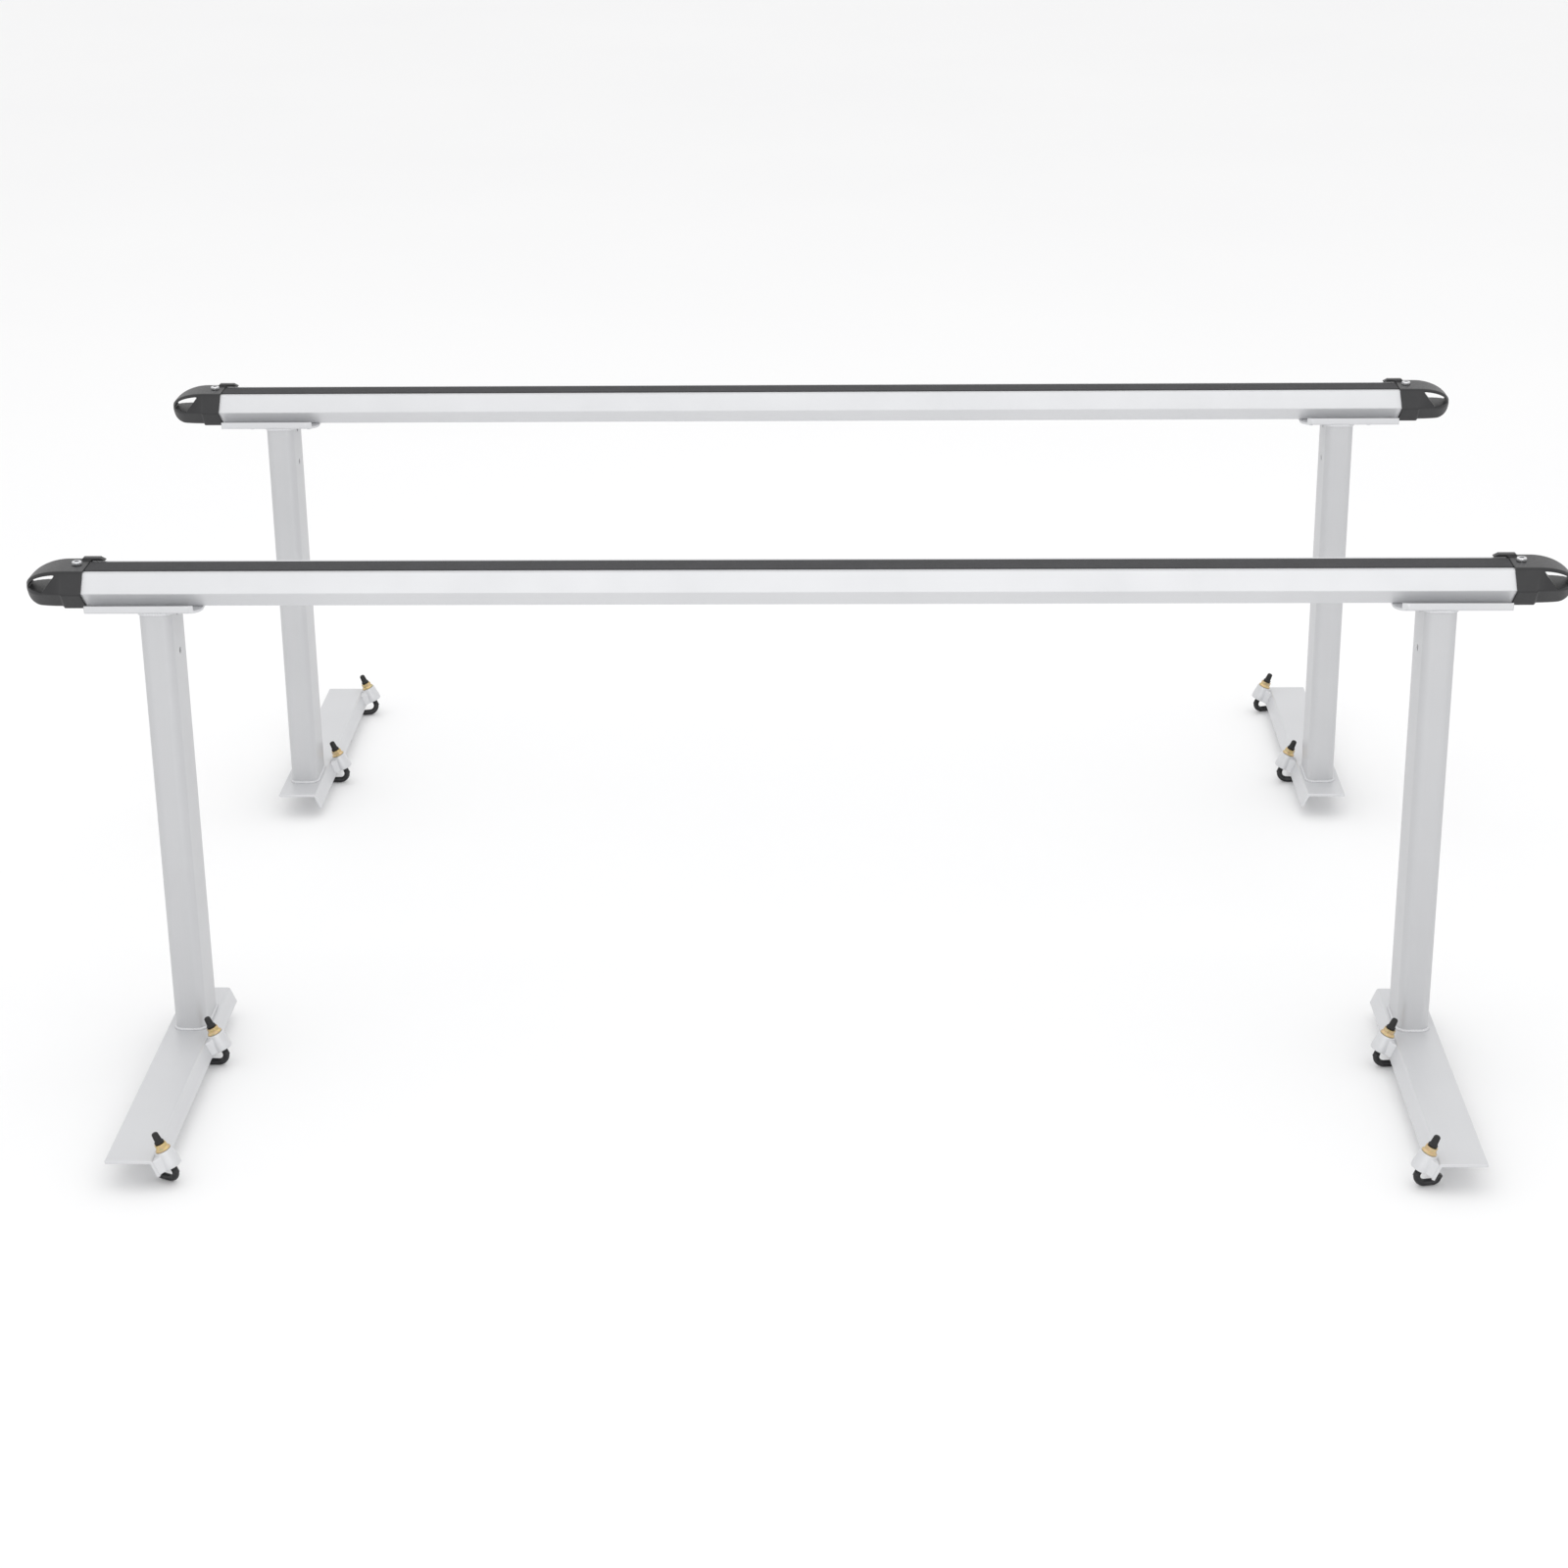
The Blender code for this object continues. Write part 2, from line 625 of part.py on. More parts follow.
def build_upright(frame, side, finishes, meshes):
    """One post with its bracket, base angle and clamps, about an empty at the post's top centre."""
    tag = f"{frame}_{side}"
    turn = (0, 0, 0) if SIDES[side] > 0 else (0, 0, math.pi)
    outboard = FRAMES[frame] * SIDES[side]
    spot = (SIDES[side] * POST_SPACING / 2, FRAMES[frame] * FRAME_SPACING / 2, BAR_LEVEL)
    hub = empty(f"upright_{tag}", spot, turn)
    metal = finishes["aluminium"]
    place(f"bracket_{tag}", meshes["bracket"], metal, (0, 0, 0), parent=hub)
    place(f"slot_bolts_{tag}", meshes["slot_bolts"], finishes["steel"], (0, 0, 0), parent=hub)
    foot = PLATE_TOP - BAR_LEVEL
    place(f"post_{tag}", meshes["post"], metal, (0, 0, foot + GAP), parent=hub)
    middle = outboard * (BASE_OUTBOARD - BASE_INBOARD) / 2
    place(f"base_angle_{tag}", meshes["base_angle"], metal, (0, middle, foot), parent=hub)
    distances = (POST_DEPTH / 2 + CLAMP_GAP_AT_POST, BASE_OUTBOARD - LUG_FLARE)
    for clamp, distance in zip(CLAMPS, distances):
        turn = math.radians(HOOK_TURNS[frame, side, clamp])
        build_clamp(f"{tag}_{clamp}", hub, outboard * distance, turn, finishes, meshes)


def build_clamp(tag, upright, along, turn, finishes, meshes):
    """One hook clamp, about an empty on its bolt's axis."""
    outward = BEND_OUTWARD - BOLT_OFFSET * math.cos(FLANGE_LEAN)
    level = PLATE_TOP - BAR_LEVEL + BOLT_OFFSET * math.sin(FLANGE_LEAN)
    axis = empty(f"clamp_axis_{tag}", (outward, along, level), (0, FLANGE_LEAN, 0), upright)
    place(f"lug_{tag}", meshes["lug"], finishes["aluminium"], (0, 0, 0), parent=axis)
    nut_level = LUG_TOP + GAP
    place(f"flange_nut_{tag}", meshes["flange_nut"], finishes["zinc"], (0, 0, nut_level), parent=axis)
    level = cover_level()
    place(f"thread_cover_{tag}", meshes["thread_cover"], finishes["rubber"], (0, 0, level), parent=axis)
    place(f"j_bolt_{tag}", meshes["j_bolt"], finishes["black"], (0, 0, 0), (0, 0, turn), axis)


def build_meshes():
    shapes = {
        "crossbar": crossbar(),
        "rubber_strip": rubber_strip(),
        "end_cap_left": end_cap(-1),
        "end_cap_right": end_cap(1),
        "cap_screw": cap_screw(),
        "bracket": bracket(),
        "slot_bolts": slot_bolts(),
        "post": post(),
        "base_angle": base_angle(),
        "lug": lug(),
        "flange_nut": flange_nut(),
        "thread_cover": thread_cover(),
        "j_bolt": j_bolt(),
    }
    return {name: mesh_of(bm, name) for name, bm in shapes.items()}


def build():
    clear_scene()
    finishes = {
        "aluminium": material("satin_aluminium", (0.62, 0.62, 0.64), 0.42, 0.9),
        "plastic": material("black_plastic", (0.045, 0.045, 0.05), 0.5, 0.0),
        "rubber": material("grey_rubber", (0.09, 0.09, 0.1), 0.7, 0.0),
        "steel": material("bright_steel", (0.7, 0.7, 0.7), 0.25, 1.0),
        "zinc": material("yellow_zinc", (0.6, 0.45, 0.22), 0.35, 0.9),
        "black": material("black_coated_steel", (0.01, 0.01, 0.011), 0.4, 0.2),
    }
    meshes = build_meshes()
    for frame in FRAMES:
        build_frame(frame, finishes, meshes)
        for side in SIDES:
            build_upright(frame, side, finishes, meshes)


build()
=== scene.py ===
# %% [markdown]
# # A truck bed ladder rack, piece by piece
# The rack is two separate aluminium frames. Each one clamps to both side rails of a pickup's bed and
# carries ladders or timber above the load. The engineering model is already packed, so this lesson only
# builds the looks: every plain CAD solid is replaced by a finer piece that stands in the same place and
# rides on the same body. All lengths are in metres, +Z is up and +X runs along the crossbars.

import json
import math

import bmesh
import bpy
from mathutils import Matrix, Vector

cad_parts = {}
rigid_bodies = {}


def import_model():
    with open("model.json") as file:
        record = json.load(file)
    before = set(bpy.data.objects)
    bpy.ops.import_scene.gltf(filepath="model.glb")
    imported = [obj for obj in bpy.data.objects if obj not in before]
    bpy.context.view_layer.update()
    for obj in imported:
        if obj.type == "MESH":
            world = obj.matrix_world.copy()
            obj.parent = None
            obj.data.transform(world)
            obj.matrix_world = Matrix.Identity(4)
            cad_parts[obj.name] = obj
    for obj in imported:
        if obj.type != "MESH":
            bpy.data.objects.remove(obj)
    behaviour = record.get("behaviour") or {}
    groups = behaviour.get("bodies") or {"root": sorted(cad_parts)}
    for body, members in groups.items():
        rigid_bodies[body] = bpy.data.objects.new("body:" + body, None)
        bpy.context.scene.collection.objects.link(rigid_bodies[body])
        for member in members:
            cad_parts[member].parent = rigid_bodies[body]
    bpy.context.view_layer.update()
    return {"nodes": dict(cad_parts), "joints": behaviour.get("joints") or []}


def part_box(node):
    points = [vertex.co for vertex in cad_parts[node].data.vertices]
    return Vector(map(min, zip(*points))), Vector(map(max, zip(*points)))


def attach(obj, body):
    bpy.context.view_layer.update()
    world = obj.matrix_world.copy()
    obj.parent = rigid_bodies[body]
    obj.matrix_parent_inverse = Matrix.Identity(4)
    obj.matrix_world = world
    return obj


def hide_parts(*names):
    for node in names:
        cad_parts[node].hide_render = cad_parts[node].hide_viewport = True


for item in list(bpy.data.objects):
    bpy.data.objects.remove(item, do_unlink=True)
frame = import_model()
joints = {joint["name"]: joint for joint in frame["joints"]}
FRAMES = ("front", "rear")
SIDES = {"left": -1, "right": 1}
CLAMPS = ("post", "end")

# %% [markdown]
# ## Camera
# A long lens from a little above the bars shows both frames almost in line. The camera comes first, so
# that every later piece can be judged from it. It looks down by one angle and is turned and rolled by two
# small ones, and a matrix made of those three turns is easier to read than three Euler angles.

# %% Camera
LENS = 71.6
CAMERA_PLACE = (0.085, -3.880, 1.7015)
CAMERA_PITCH = math.radians(21.38)
CAMERA_YAW = math.radians(1.66)
CAMERA_ROLL = math.radians(0.65)


def turned_about(axis, angle):
    return Matrix.Rotation(angle, 4, axis)


camera = bpy.data.objects.new("camera", bpy.data.cameras.new("camera"))
bpy.context.scene.collection.objects.link(camera)
camera.data.lens = LENS
level_view = turned_about("X", math.pi / 2 - CAMERA_PITCH)
aim = turned_about("Z", CAMERA_YAW) @ level_view @ turned_about("Z", -CAMERA_ROLL)
camera.matrix_world = Matrix.Translation(CAMERA_PLACE) @ aim
bpy.context.scene.camera = camera
print("camera at", CAMERA_PLACE, "with a", LENS, "mm lens")

# %% [markdown]
# ## Node graphs written as sums
# Both shaders and geometry trees are node graphs. Placing nodes by hand in the editor is slow to read
# back, so one class makes a node in one call (type, settings, inputs) and a second one wraps an output
# socket, so that `1 - mask * 0.3` adds the Math nodes by itself.

# %% Graph and Value
class Value:
    """An output socket that can be used in arithmetic."""

    def __init__(self, graph, socket):
        self.graph = graph
        self.socket = socket

    def math(self, operation, *terms):
        inputs = dict(enumerate(terms))
        return self.graph.node("ShaderNodeMath", {"operation": operation}, inputs)

    def __add__(self, other):
        return self.math("ADD", self, other)

    def __sub__(self, other):
        return self.math("SUBTRACT", self, other)

    def __rsub__(self, other):
        return self.math("SUBTRACT", other, self)

    def __mul__(self, other):
        return self.math("MULTIPLY", self, other)

    def __truediv__(self, other):
        return self.math("DIVIDE", self, other)

    __radd__ = __add__
    __rmul__ = __mul__


class Graph:
    """Adds nodes to a tree. Settings are attributes, or the stops of a colour ramp."""

    def __init__(self, tree):
        self.tree = tree

    def node(self, kind, settings=None, inputs=None, output=0):
        made = self.tree.nodes.new(kind)
        for name, value in (settings or {}).items():
            if name == "stops":
                self.set_stops(made.color_ramp, value)
            else:
                setattr(made, name, value)
        for key, value in (inputs or {}).items():
            if isinstance(value, Value):
                self.tree.links.new(value.socket, made.inputs[key])
            else:
                made.inputs[key].default_value = value
        return Value(self, made.outputs[output])

    def set_stops(self, ramp, stops):
        while len(ramp.elements) < len(stops):
            ramp.elements.new(0.5)
        for element, (position, colour) in zip(ramp.elements, stops):
            element.position = position
            element.color = (*colour, 1)


print("node helpers ready")

# %% [markdown]
# ## Patterns on the surface
# Every finished piece keeps its object at the origin, so Object coordinates are metres in the rack's own
# frame and a pattern runs on from piece to piece. A Mapping node stretches it: a large scale is a fine
# grain, and a small scale along one axis draws the grain out into lines.

# %% Noise and colour helpers
def noise(graph, scale, detail=3.0, offset=0.0):
    """Soft noise from 0 to 1. Scale is cells per metre along X, Y and Z."""
    place = graph.node("ShaderNodeTexCoord", output="Object")
    inputs = {"Vector": place, "Scale": scale, "Location": (offset, offset, offset)}
    spot = graph.node("ShaderNodeMapping", inputs=inputs)
    return graph.node("ShaderNodeTexNoise", inputs={"Vector": spot, "Scale": 1.0, "Detail": detail})


def blend(graph, share, first, second):
    """A colour between two colours."""
    settings = {"data_type": "RGBA"}
    mixer = {"Factor": share, 6: (*first, 1), 7: (*second, 1)}
    return graph.node("ShaderNodeMix", settings, mixer, output=2)


def finish(name, colour, roughness, bump, depth, constants):
    """A material. The first three come from the graph, and the constants are set on the shader itself."""
    made = bpy.data.materials.new(name)
    made.use_nodes = True
    graph = Graph(made.node_tree)
    shader = made.node_tree.nodes["Principled BSDF"]
    links = made.node_tree.links
    links.new(colour(graph).socket, shader.inputs["Base Color"])
    links.new(roughness(graph).socket, shader.inputs["Roughness"])
    relief = {"Height": bump(graph), "Distance": depth, "Strength": 1.0}
    links.new(graph.node("ShaderNodeBump", inputs=relief).socket, shader.inputs["Normal"])
    for socket, value in constants.items():
        shader.inputs[socket].default_value = value
    print("finish", name)
    return made


# %% [markdown]
# ## Satin aluminium
# The bars, posts and angles are extruded, etched and then given a pale silver coat. Up close such a
# surface has faint die lines along the extrusion, a soft cloudiness of a hand's width, and a very fine
# tooth. Each direction of extrusion gets its own finish, with the same recipe and the lines turned. The
# posts' finish is also made darker, which paints in the shade that falls on their upright faces.

# %% Satin aluminium finishes
LINE_WIDTH = 1400.0
LINE_LENGTH = 3.0
CLOUD = 9.0
TOOTH = 3500.0
SILVER_DARK = Vector((0.59, 0.595, 0.61))
SILVER_LIGHT = Vector((0.67, 0.675, 0.688))


def satin_aluminium(name, lines, tone=1.0):
    """Lines is the scale of the die lines along X, Y and Z. Tone makes the silver darker or lighter, and a
    tone below 1 paints shade into the colour.
    """
    def colour(graph):
        share = noise(graph, (CLOUD,) * 3, 4.0) * 0.7 + noise(graph, lines, 2.0) * 0.3
        return blend(graph, share, SILVER_DARK * tone, SILVER_LIGHT * tone)

    def roughness(graph):
        return 0.34 + noise(graph, (CLOUD * 2,) * 3, 3.0, 5.0) * 0.1 + noise(graph, lines, 2.0) * 0.06

    def relief(graph):
        return noise(graph, lines, 2.0) * 0.6 + noise(graph, (TOOTH,) * 3, 2.0, 3.0) * 0.4

    return finish(name, colour, roughness, relief, 0.00004, {"Metallic": 0.35})


along_x_lines = (LINE_LENGTH, LINE_WIDTH, LINE_WIDTH)
along_y_lines = (LINE_WIDTH, LINE_LENGTH, LINE_WIDTH)
along_z_lines = (LINE_WIDTH, LINE_WIDTH, LINE_LENGTH)
bar_silver = satin_aluminium("satin_silver_bar", along_x_lines)
angle_silver = satin_aluminium("satin_silver_angle", along_y_lines)
# The posts' silver is darkened to 0.85, which paints in the shade that their upright faces get.
post_silver_painted_shade = satin_aluminium("satin_silver_post_painted_shade", along_z_lines, 0.85)
cast_silver = satin_aluminium("satin_silver_cast", (TOOTH / 6,) * 3)

# %% [markdown]
# ## Moulded plastic and rubber
# The end caps come out of a spark-eroded mould, which leaves a fine matt grain. The strip on top of the
# bar is a dark grey rubber with a paler bloom, and the thread covers are a softer black rubber. All three
# have no metallic part, so what tells them apart is how rough they are and the size of their grain.

# %% Plastic and rubber finishes
BLOOM = 30.0


def speckled(name, dark, light, grain, rough, depth, gloss):
    """Grain is the speckle's cells per metre and depth is its height."""
    def colour(graph):
        share = noise(graph, (grain,) * 3, 4.0) * 0.5 + noise(graph, (BLOOM,) * 3, 3.0, 7.0) * 0.5
        return blend(graph, share, dark, light)

    def roughness(graph):
        return rough + noise(graph, (grain / 4,) * 3, 3.0, 2.0) * 0.18

    def relief(graph):
        return noise(graph, (grain,) * 3, 2.0, 1.0)

    return finish(name, colour, roughness, relief, depth, {"Specular IOR Level": gloss})


cap_plastic = speckled("moulded_cap_plastic", (0.012,) * 3, (0.030, 0.030, 0.033),
                       grain=1500.0, rough=0.32, depth=0.00012, gloss=0.42)
strip_rubber = speckled("grey_strip_rubber", (0.030,) * 3, (0.060, 0.060, 0.066),
                        grain=900.0, rough=0.58, depth=0.00010, gloss=0.35)
cover_rubber = speckled("black_cover_rubber", (0.006,) * 3, (0.016,) * 3,
                        grain=1800.0, rough=0.42, depth=0.00006, gloss=0.4)

# %% [markdown]
# ## Steel, plain, coated and zinc plated
# The cap screws are bright plated steel with fine turning marks. The hooks have a black coat that is
# slightly uneven. The flange nuts are zinc plated and then passivated yellow, which is not one colour:
# the film's thickness varies, and it turns from gold towards rose and green.

# %% Steel finishes
def plated(name, stops, cells, rough, metal, coat):
    """Stops are the colours that the noise runs through. Cells are its cells per metre."""
    def colour(graph):
        share = noise(graph, (cells,) * 3, 3.0)
        return graph.node("ShaderNodeValToRGB", {"stops": stops}, {"Fac": share})

    def roughness(graph):
        return rough + noise(graph, (cells * 3,) * 3, 3.0, 4.0) * 0.16

    def relief(graph):
        return noise(graph, (cells * 8,) * 3, 2.0, 6.0)

    return finish(name, colour, roughness, relief, 0.00003, {"Metallic": metal, "Coat Weight": coat})


screw_stops = [(0.3, (0.60, 0.61, 0.63)), (0.7, (0.82, 0.82, 0.83))]
hook_stops = [(0.3, (0.006, 0.006, 0.007)), (0.7, (0.016, 0.016, 0.018))]
zinc_stops = [
    (0.25, (0.42, 0.33, 0.17)),
    (0.42, (0.62, 0.48, 0.22)),
    (0.55, (0.60, 0.43, 0.26)),
    (0.68, (0.49, 0.45, 0.23)),
    (0.80, (0.64, 0.54, 0.32)),
]
screw_steel = plated("bright_screw_steel", screw_stops, cells=260.0, rough=0.14, metal=1.0, coat=0.0)
hook_black = plated("black_hook_coat", hook_stops, cells=180.0, rough=0.30, metal=0.15, coat=0.15)
yellow_zinc = plated("yellow_zinc_plate", zinc_stops, cells=190.0, rough=0.22, metal=0.85, coat=0.1)

# %% [markdown]
# ## From points to solids
# Most pieces start as an outline: a list of points in a plane. The helpers below round its corners, offset
# it, and raise it to a solid between two levels. Round pieces are turned from a profile. These are the
# same shapes that the engineering model uses, only with many more points on every curve.

# %% Outlines
def circle(radius, count, centre=(0, 0)):
    angles = [math.tau * step / count for step in range(count)]
    return [(centre[0] + radius * math.cos(a), centre[1] + radius * math.sin(a)) for a in angles]


def fillet(before, corner, after, radius, steps):
    """Points of the arc that rounds one corner."""
    before, corner, after = Vector(before), Vector(corner), Vector(after)
    back = (before - corner).normalized()
    ahead = (after - corner).normalized()
    half = back.angle(ahead) / 2
    centre = corner + (back + ahead).normalized() * radius / math.sin(half)
    start = corner + back * radius / math.tan(half) - centre
    turn = math.copysign(math.pi - 2 * half, back.y * ahead.x - back.x * ahead.y)
    points = []
    for step in range(steps + 1):
        spin = Matrix.Rotation(turn * step / steps, 2)
        points.append(tuple(centre + spin @ start))
    return points


def rounded(corners, radii, steps=4):
    """A closed outline with its corners rounded, each by its own radius, or left sharp where that is 0."""
    points = []
    for index, corner in enumerate(corners):
        radius = radii[index] if isinstance(radii, (list, tuple)) else radii
        before, after = corners[index - 1], corners[(index + 1) % len(corners)]
        points += fillet(before, corner, after, radius, steps) if radius else [corner]
    return points


def mirrored(right):
    """A closed outline from its right half, which runs from bottom to top."""
    return right + [(-a, b) for a, b in reversed(right)]


def grown(corners, distance):
    """A convex anticlockwise outline with each side moved out by a distance."""
    points = []
    for index, corner in enumerate(corners):
        corner = Vector(corner)
        back = (corner - Vector(corners[index - 1])).normalized()
        ahead = (Vector(corners[(index + 1) % len(corners)]) - corner).normalized()
        bisector = Vector((back.y + ahead.y, -back.x - ahead.x)).normalized()
        points.append(tuple(corner + bisector * distance / bisector.dot(Vector((back.y, -back.x)))))
    return points


def box(length_x, length_y):
    return [(a * length_x / 2, b * length_y / 2) for a, b in ((1, -1), (1, 1), (-1, 1), (-1, -1))]


print("a rounded unit square has", len(rounded(box(1, 1), 0.2)), "points")

# %% Solids from outlines
def along_x(a, b, level):
    return Vector((level, a, b))


def along_y(a, b, level):
    return Vector((a, level, b))


def along_z(a, b, level):
    return Vector((a, b, level))


def mesh_of(bm, name="shape"):
    bmesh.ops.recalc_face_normals(bm, faces=bm.faces[:])
    mesh = bpy.data.meshes.new(name)
    bm.to_mesh(mesh)
    bm.free()
    return mesh


def prism(loops, low, high, lay):
    """A solid between two levels. The first loop is the outline and the rest are holes."""
    bm = bmesh.new()
    edges = []
    for loop in loops:
        ring = [bm.verts.new(lay(a, b, low)) for a, b in loop]
        edges += [bm.edges.new(pair) for pair in zip(ring, ring[1:] + ring[:1])]
    filled = bmesh.ops.triangle_fill(bm, use_beauty=True, edges=edges)["geom"]
    faces = [item for item in filled if isinstance(item, bmesh.types.BMFace)]
    raised = bmesh.ops.extrude_face_region(bm, geom=faces, use_keep_orig=True)["geom"]
    verts = [item for item in raised if isinstance(item, bmesh.types.BMVert)]
    bmesh.ops.translate(bm, vec=lay(0, 0, high) - lay(0, 0, low), verts=verts)
    return mesh_of(bm)


def skin(bm, rings):
    """Faces between rings of points, any of which may be a single point, and over both ends."""
    for lower, upper in zip(rings, rings[1:]):
        for index in range(max(len(lower), len(upper))):
            corners = [lower[index % len(lower)], lower[(index + 1) % len(lower)]]
            corners += [upper[(index + 1) % len(upper)], upper[index % len(upper)]]
            bm.faces.new(list(dict.fromkeys(corners)))
    for ring in (rings[0], rings[-1]):
        if len(ring) > 1:
            bm.faces.new(ring)


def turned(profile, count):
    """A solid of revolution about Z. Points at radius 0 lie on the axis."""
    bm = bmesh.new()
    rings = []
    for radius, height in profile:
        points = circle(radius, count) if radius else [(0, 0)]
        rings.append([bm.verts.new((x, y, height)) for x, y in points])
    skin(bm, rings)
    return mesh_of(bm)


print("turned and extruded solids ready")

# %% [markdown]
# ## Cutting, joining and rounding
# Modifiers do the rest. A Boolean cuts or joins two solids, a Bevel rounds the sharp edges, and Weighted
# Normal keeps a large flat face flat next to a small round one. A cast or moulded piece is remeshed and
# smoothed instead, which rounds every edge and fills every inner corner, as a mould does.

# %% Modifiers on a mesh
CLEAR = 0.01  # how far a cutter runs past what it cuts


def shaped(mesh, *steps):
    """A new mesh: the given one after some modifiers, each a type and its settings."""
    holder = bpy.data.objects.new("holder", mesh)
    bpy.context.scene.collection.objects.link(holder)
    for kind, settings in steps:
        modifier = holder.modifiers.new(kind.lower(), kind)
        for name, value in settings.items():
            setattr(modifier, name, value)
    graph = bpy.context.evaluated_depsgraph_get()
    result = bpy.data.meshes.new_from_object(holder.evaluated_get(graph))
    bpy.data.objects.remove(holder)
    return result


def combined(base, tool, operation):
    cutter = bpy.data.objects.new("cutter", tool)
    bpy.context.scene.collection.objects.link(cutter)
    result = shaped(base, ("BOOLEAN", {"operation": operation, "object": cutter}))
    bpy.data.objects.remove(cutter)
    return result


def cut(base, *tools):
    for tool in tools:
        base = combined(base, tool, "DIFFERENCE")
    return base


def bored(base, radius, low, high):
    """The mesh with a round hole right through it along Z."""
    return cut(base, prism([circle(radius, 32)], low.z - CLEAR, high.z + CLEAR, along_z))


def joined(base, *others):
    for other in others:
        base = combined(base, other, "UNION")
    return base


def smooth(mesh, sharp_angle=35):
    mesh.shade_smooth()
    mesh.set_sharp_from_angle(angle=math.radians(sharp_angle))
    return mesh


def eased(mesh, width, segments=3):
    """The mesh with its sharp edges rounded."""
    flat = ("DECIMATE", {"decimate_type": "DISSOLVE", "angle_limit": math.radians(0.5)})
    settings = {"width": width, "segments": segments, "limit_method": "ANGLE"}
    settings.update(angle_limit=math.radians(40), use_clamp_overlap=False)
    soft = smooth(shaped(mesh, flat, ("BEVEL", settings)), 50)
    return shaped(soft, ("WEIGHTED_NORMAL", {"keep_sharp": True}))


def moulded(mesh, cell, rounds, share):
    """The mesh with every edge softened, as if cast or moulded. Share is how many of its faces stay."""
    remesh = ("REMESH", {"mode": "VOXEL", "voxel_size": cell, "use_smooth_shade": True})
    relax = ("SMOOTH", {"factor": 0.5, "iterations": rounds})
    thin = ("DECIMATE", {"ratio": share})
    return smooth(shaped(mesh, remesh, relax, thin), 60)


print("cutting, joining and rounding ready")

# %% [markdown]
# ## Putting a piece on the rack
# A shape is made once, in its own simple frame, and copied to each of its places. Its place goes into the
# mesh, and the object stays at the origin. Then it is tied to the body it rides on, the CAD node it stands
# for is hidden, and it takes the finish it is given. Places are read back from the CAD nodes, never typed
# in.

# %% Places
def local_box(node, place):
    """Lowest and highest corner of a CAD node, seen from a place."""
    back = place.inverted()
    points = [back @ vert.co for vert in frame["nodes"][node].data.vertices]
    low = Vector([min(point[axis] for point in points) for axis in range(3)])
    high = Vector([max(point[axis] for point in points) for axis in range(3)])
    return low, high


def bar_place(name):
    """The middle of a crossbar's underside."""
    low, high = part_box(f"crossbar_{name}")
    return Matrix.Translation((0, (low.y + high.y) / 2, low.z))


def upright_place(name, side):
    """The middle of a post's foot, with X pointing away from the rack's middle."""
    low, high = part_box(f"post_{name}_{side}")
    half_turn = turned_about("Z", 0 if SIDES[side] > 0 else math.pi)
    return Matrix.Translation(((low.x + high.x) / 2, (low.y + high.y) / 2, low.z)) @ half_turn


def clamp_place(tag):
    """A clamp bolt's axis as Z, with X pointing away from the rack's middle."""
    joint = joints[f"nut_turn_{tag}"]
    up = Vector(joint["axis"])
    across = Vector((0, math.copysign(1, joint["pos_m"][0]), 0))
    turn = Matrix((across.cross(up), across, up)).transposed().to_4x4()
    return Matrix.Translation(joint["pos_m"]) @ turn


def add_piece(name, mesh, place, coat, body, node=None):
    """Puts a copy of a mesh at its place and ties it to the frame."""
    data = mesh.copy()
    data.transform(place)
    data.materials.clear()
    data.materials.append(coat)
    data.polygons.foreach_set("material_index", [0] * len(data.polygons))
    piece = bpy.data.objects.new(name, data)
    bpy.context.scene.collection.objects.link(piece)
    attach(piece, body)
    if node:
        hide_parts(node)
    return piece


uprights = {f"{name}_{side}": upright_place(name, side) for name in FRAMES for side in SIDES}
clamps = {f"{tag}_{clamp}": clamp_place(f"{tag}_{clamp}") for tag in uprights for clamp in CLAMPS}
bars = {name: bar_place(name) for name in FRAMES}
print(len(bars), "bars,", len(uprights), "uprights and", len(clamps), "clamps")

# %% [markdown]
# ## A geometry tree for extrusions
# The bar, its strip, the posts and the angles are all extrusions: one section, pushed out along a line.
# Geometry Nodes say exactly that. The section goes in as closed edge loops, the tree fills them (a loop
# inside another is a hole), extrudes the face by a named length and closes the far end. One tree then
# makes every extruded piece, and only the section and the length change.

# %% Geometry tree helpers
def geometry_tree(name, sizes):
    """A new tree with a geometry, some named sizes and a finish as inputs. Returns its graph and inputs."""
    tree = bpy.data.node_groups.new(name, "GeometryNodeTree")
    tree.interface.new_socket("Shape", in_out="INPUT", socket_type="NodeSocketGeometry")
    for size in sizes:
        tree.interface.new_socket(size, in_out="INPUT", socket_type="NodeSocketFloat")
    tree.interface.new_socket("Finish", in_out="INPUT", socket_type="NodeSocketMaterial")
    tree.interface.new_socket("Shape", in_out="OUTPUT", socket_type="NodeSocketGeometry")
    graph = Graph(tree)
    start = tree.nodes.new("NodeGroupInput")
    return graph, {socket.name: Value(graph, socket) for socket in start.outputs if socket.name}


def end_tree(graph, shape, coat):
    real = graph.node("GeometryNodeRealizeInstances", inputs={"Geometry": shape})
    coated = graph.node("GeometryNodeSetMaterial", inputs={"Geometry": real, "Material": coat})
    end = graph.tree.nodes.new("NodeGroupOutput")
    graph.tree.links.new(coated.socket, end.inputs["Shape"])
    return graph.tree


def run_tree(tree, mesh, coat, **sizes):
    """The plain mesh that a tree makes from a mesh. Inputs are set by their identifiers."""
    holder = bpy.data.objects.new("holder", mesh)
    bpy.context.scene.collection.objects.link(holder)
    modifier = holder.modifiers.new("tree", "NODES")
    modifier.node_group = tree
    values = {name.replace("_", " "): value for name, value in sizes.items()}
    values["Finish"] = coat
    for socket in tree.interface.items_tree:
        if socket.in_out == "INPUT" and socket.name in values:
            modifier[socket.identifier] = values[socket.name]
    graph = bpy.context.evaluated_depsgraph_get()
    made = bpy.data.meshes.new_from_object(holder.evaluated_get(graph))
    bpy.data.objects.remove(holder)
    return made


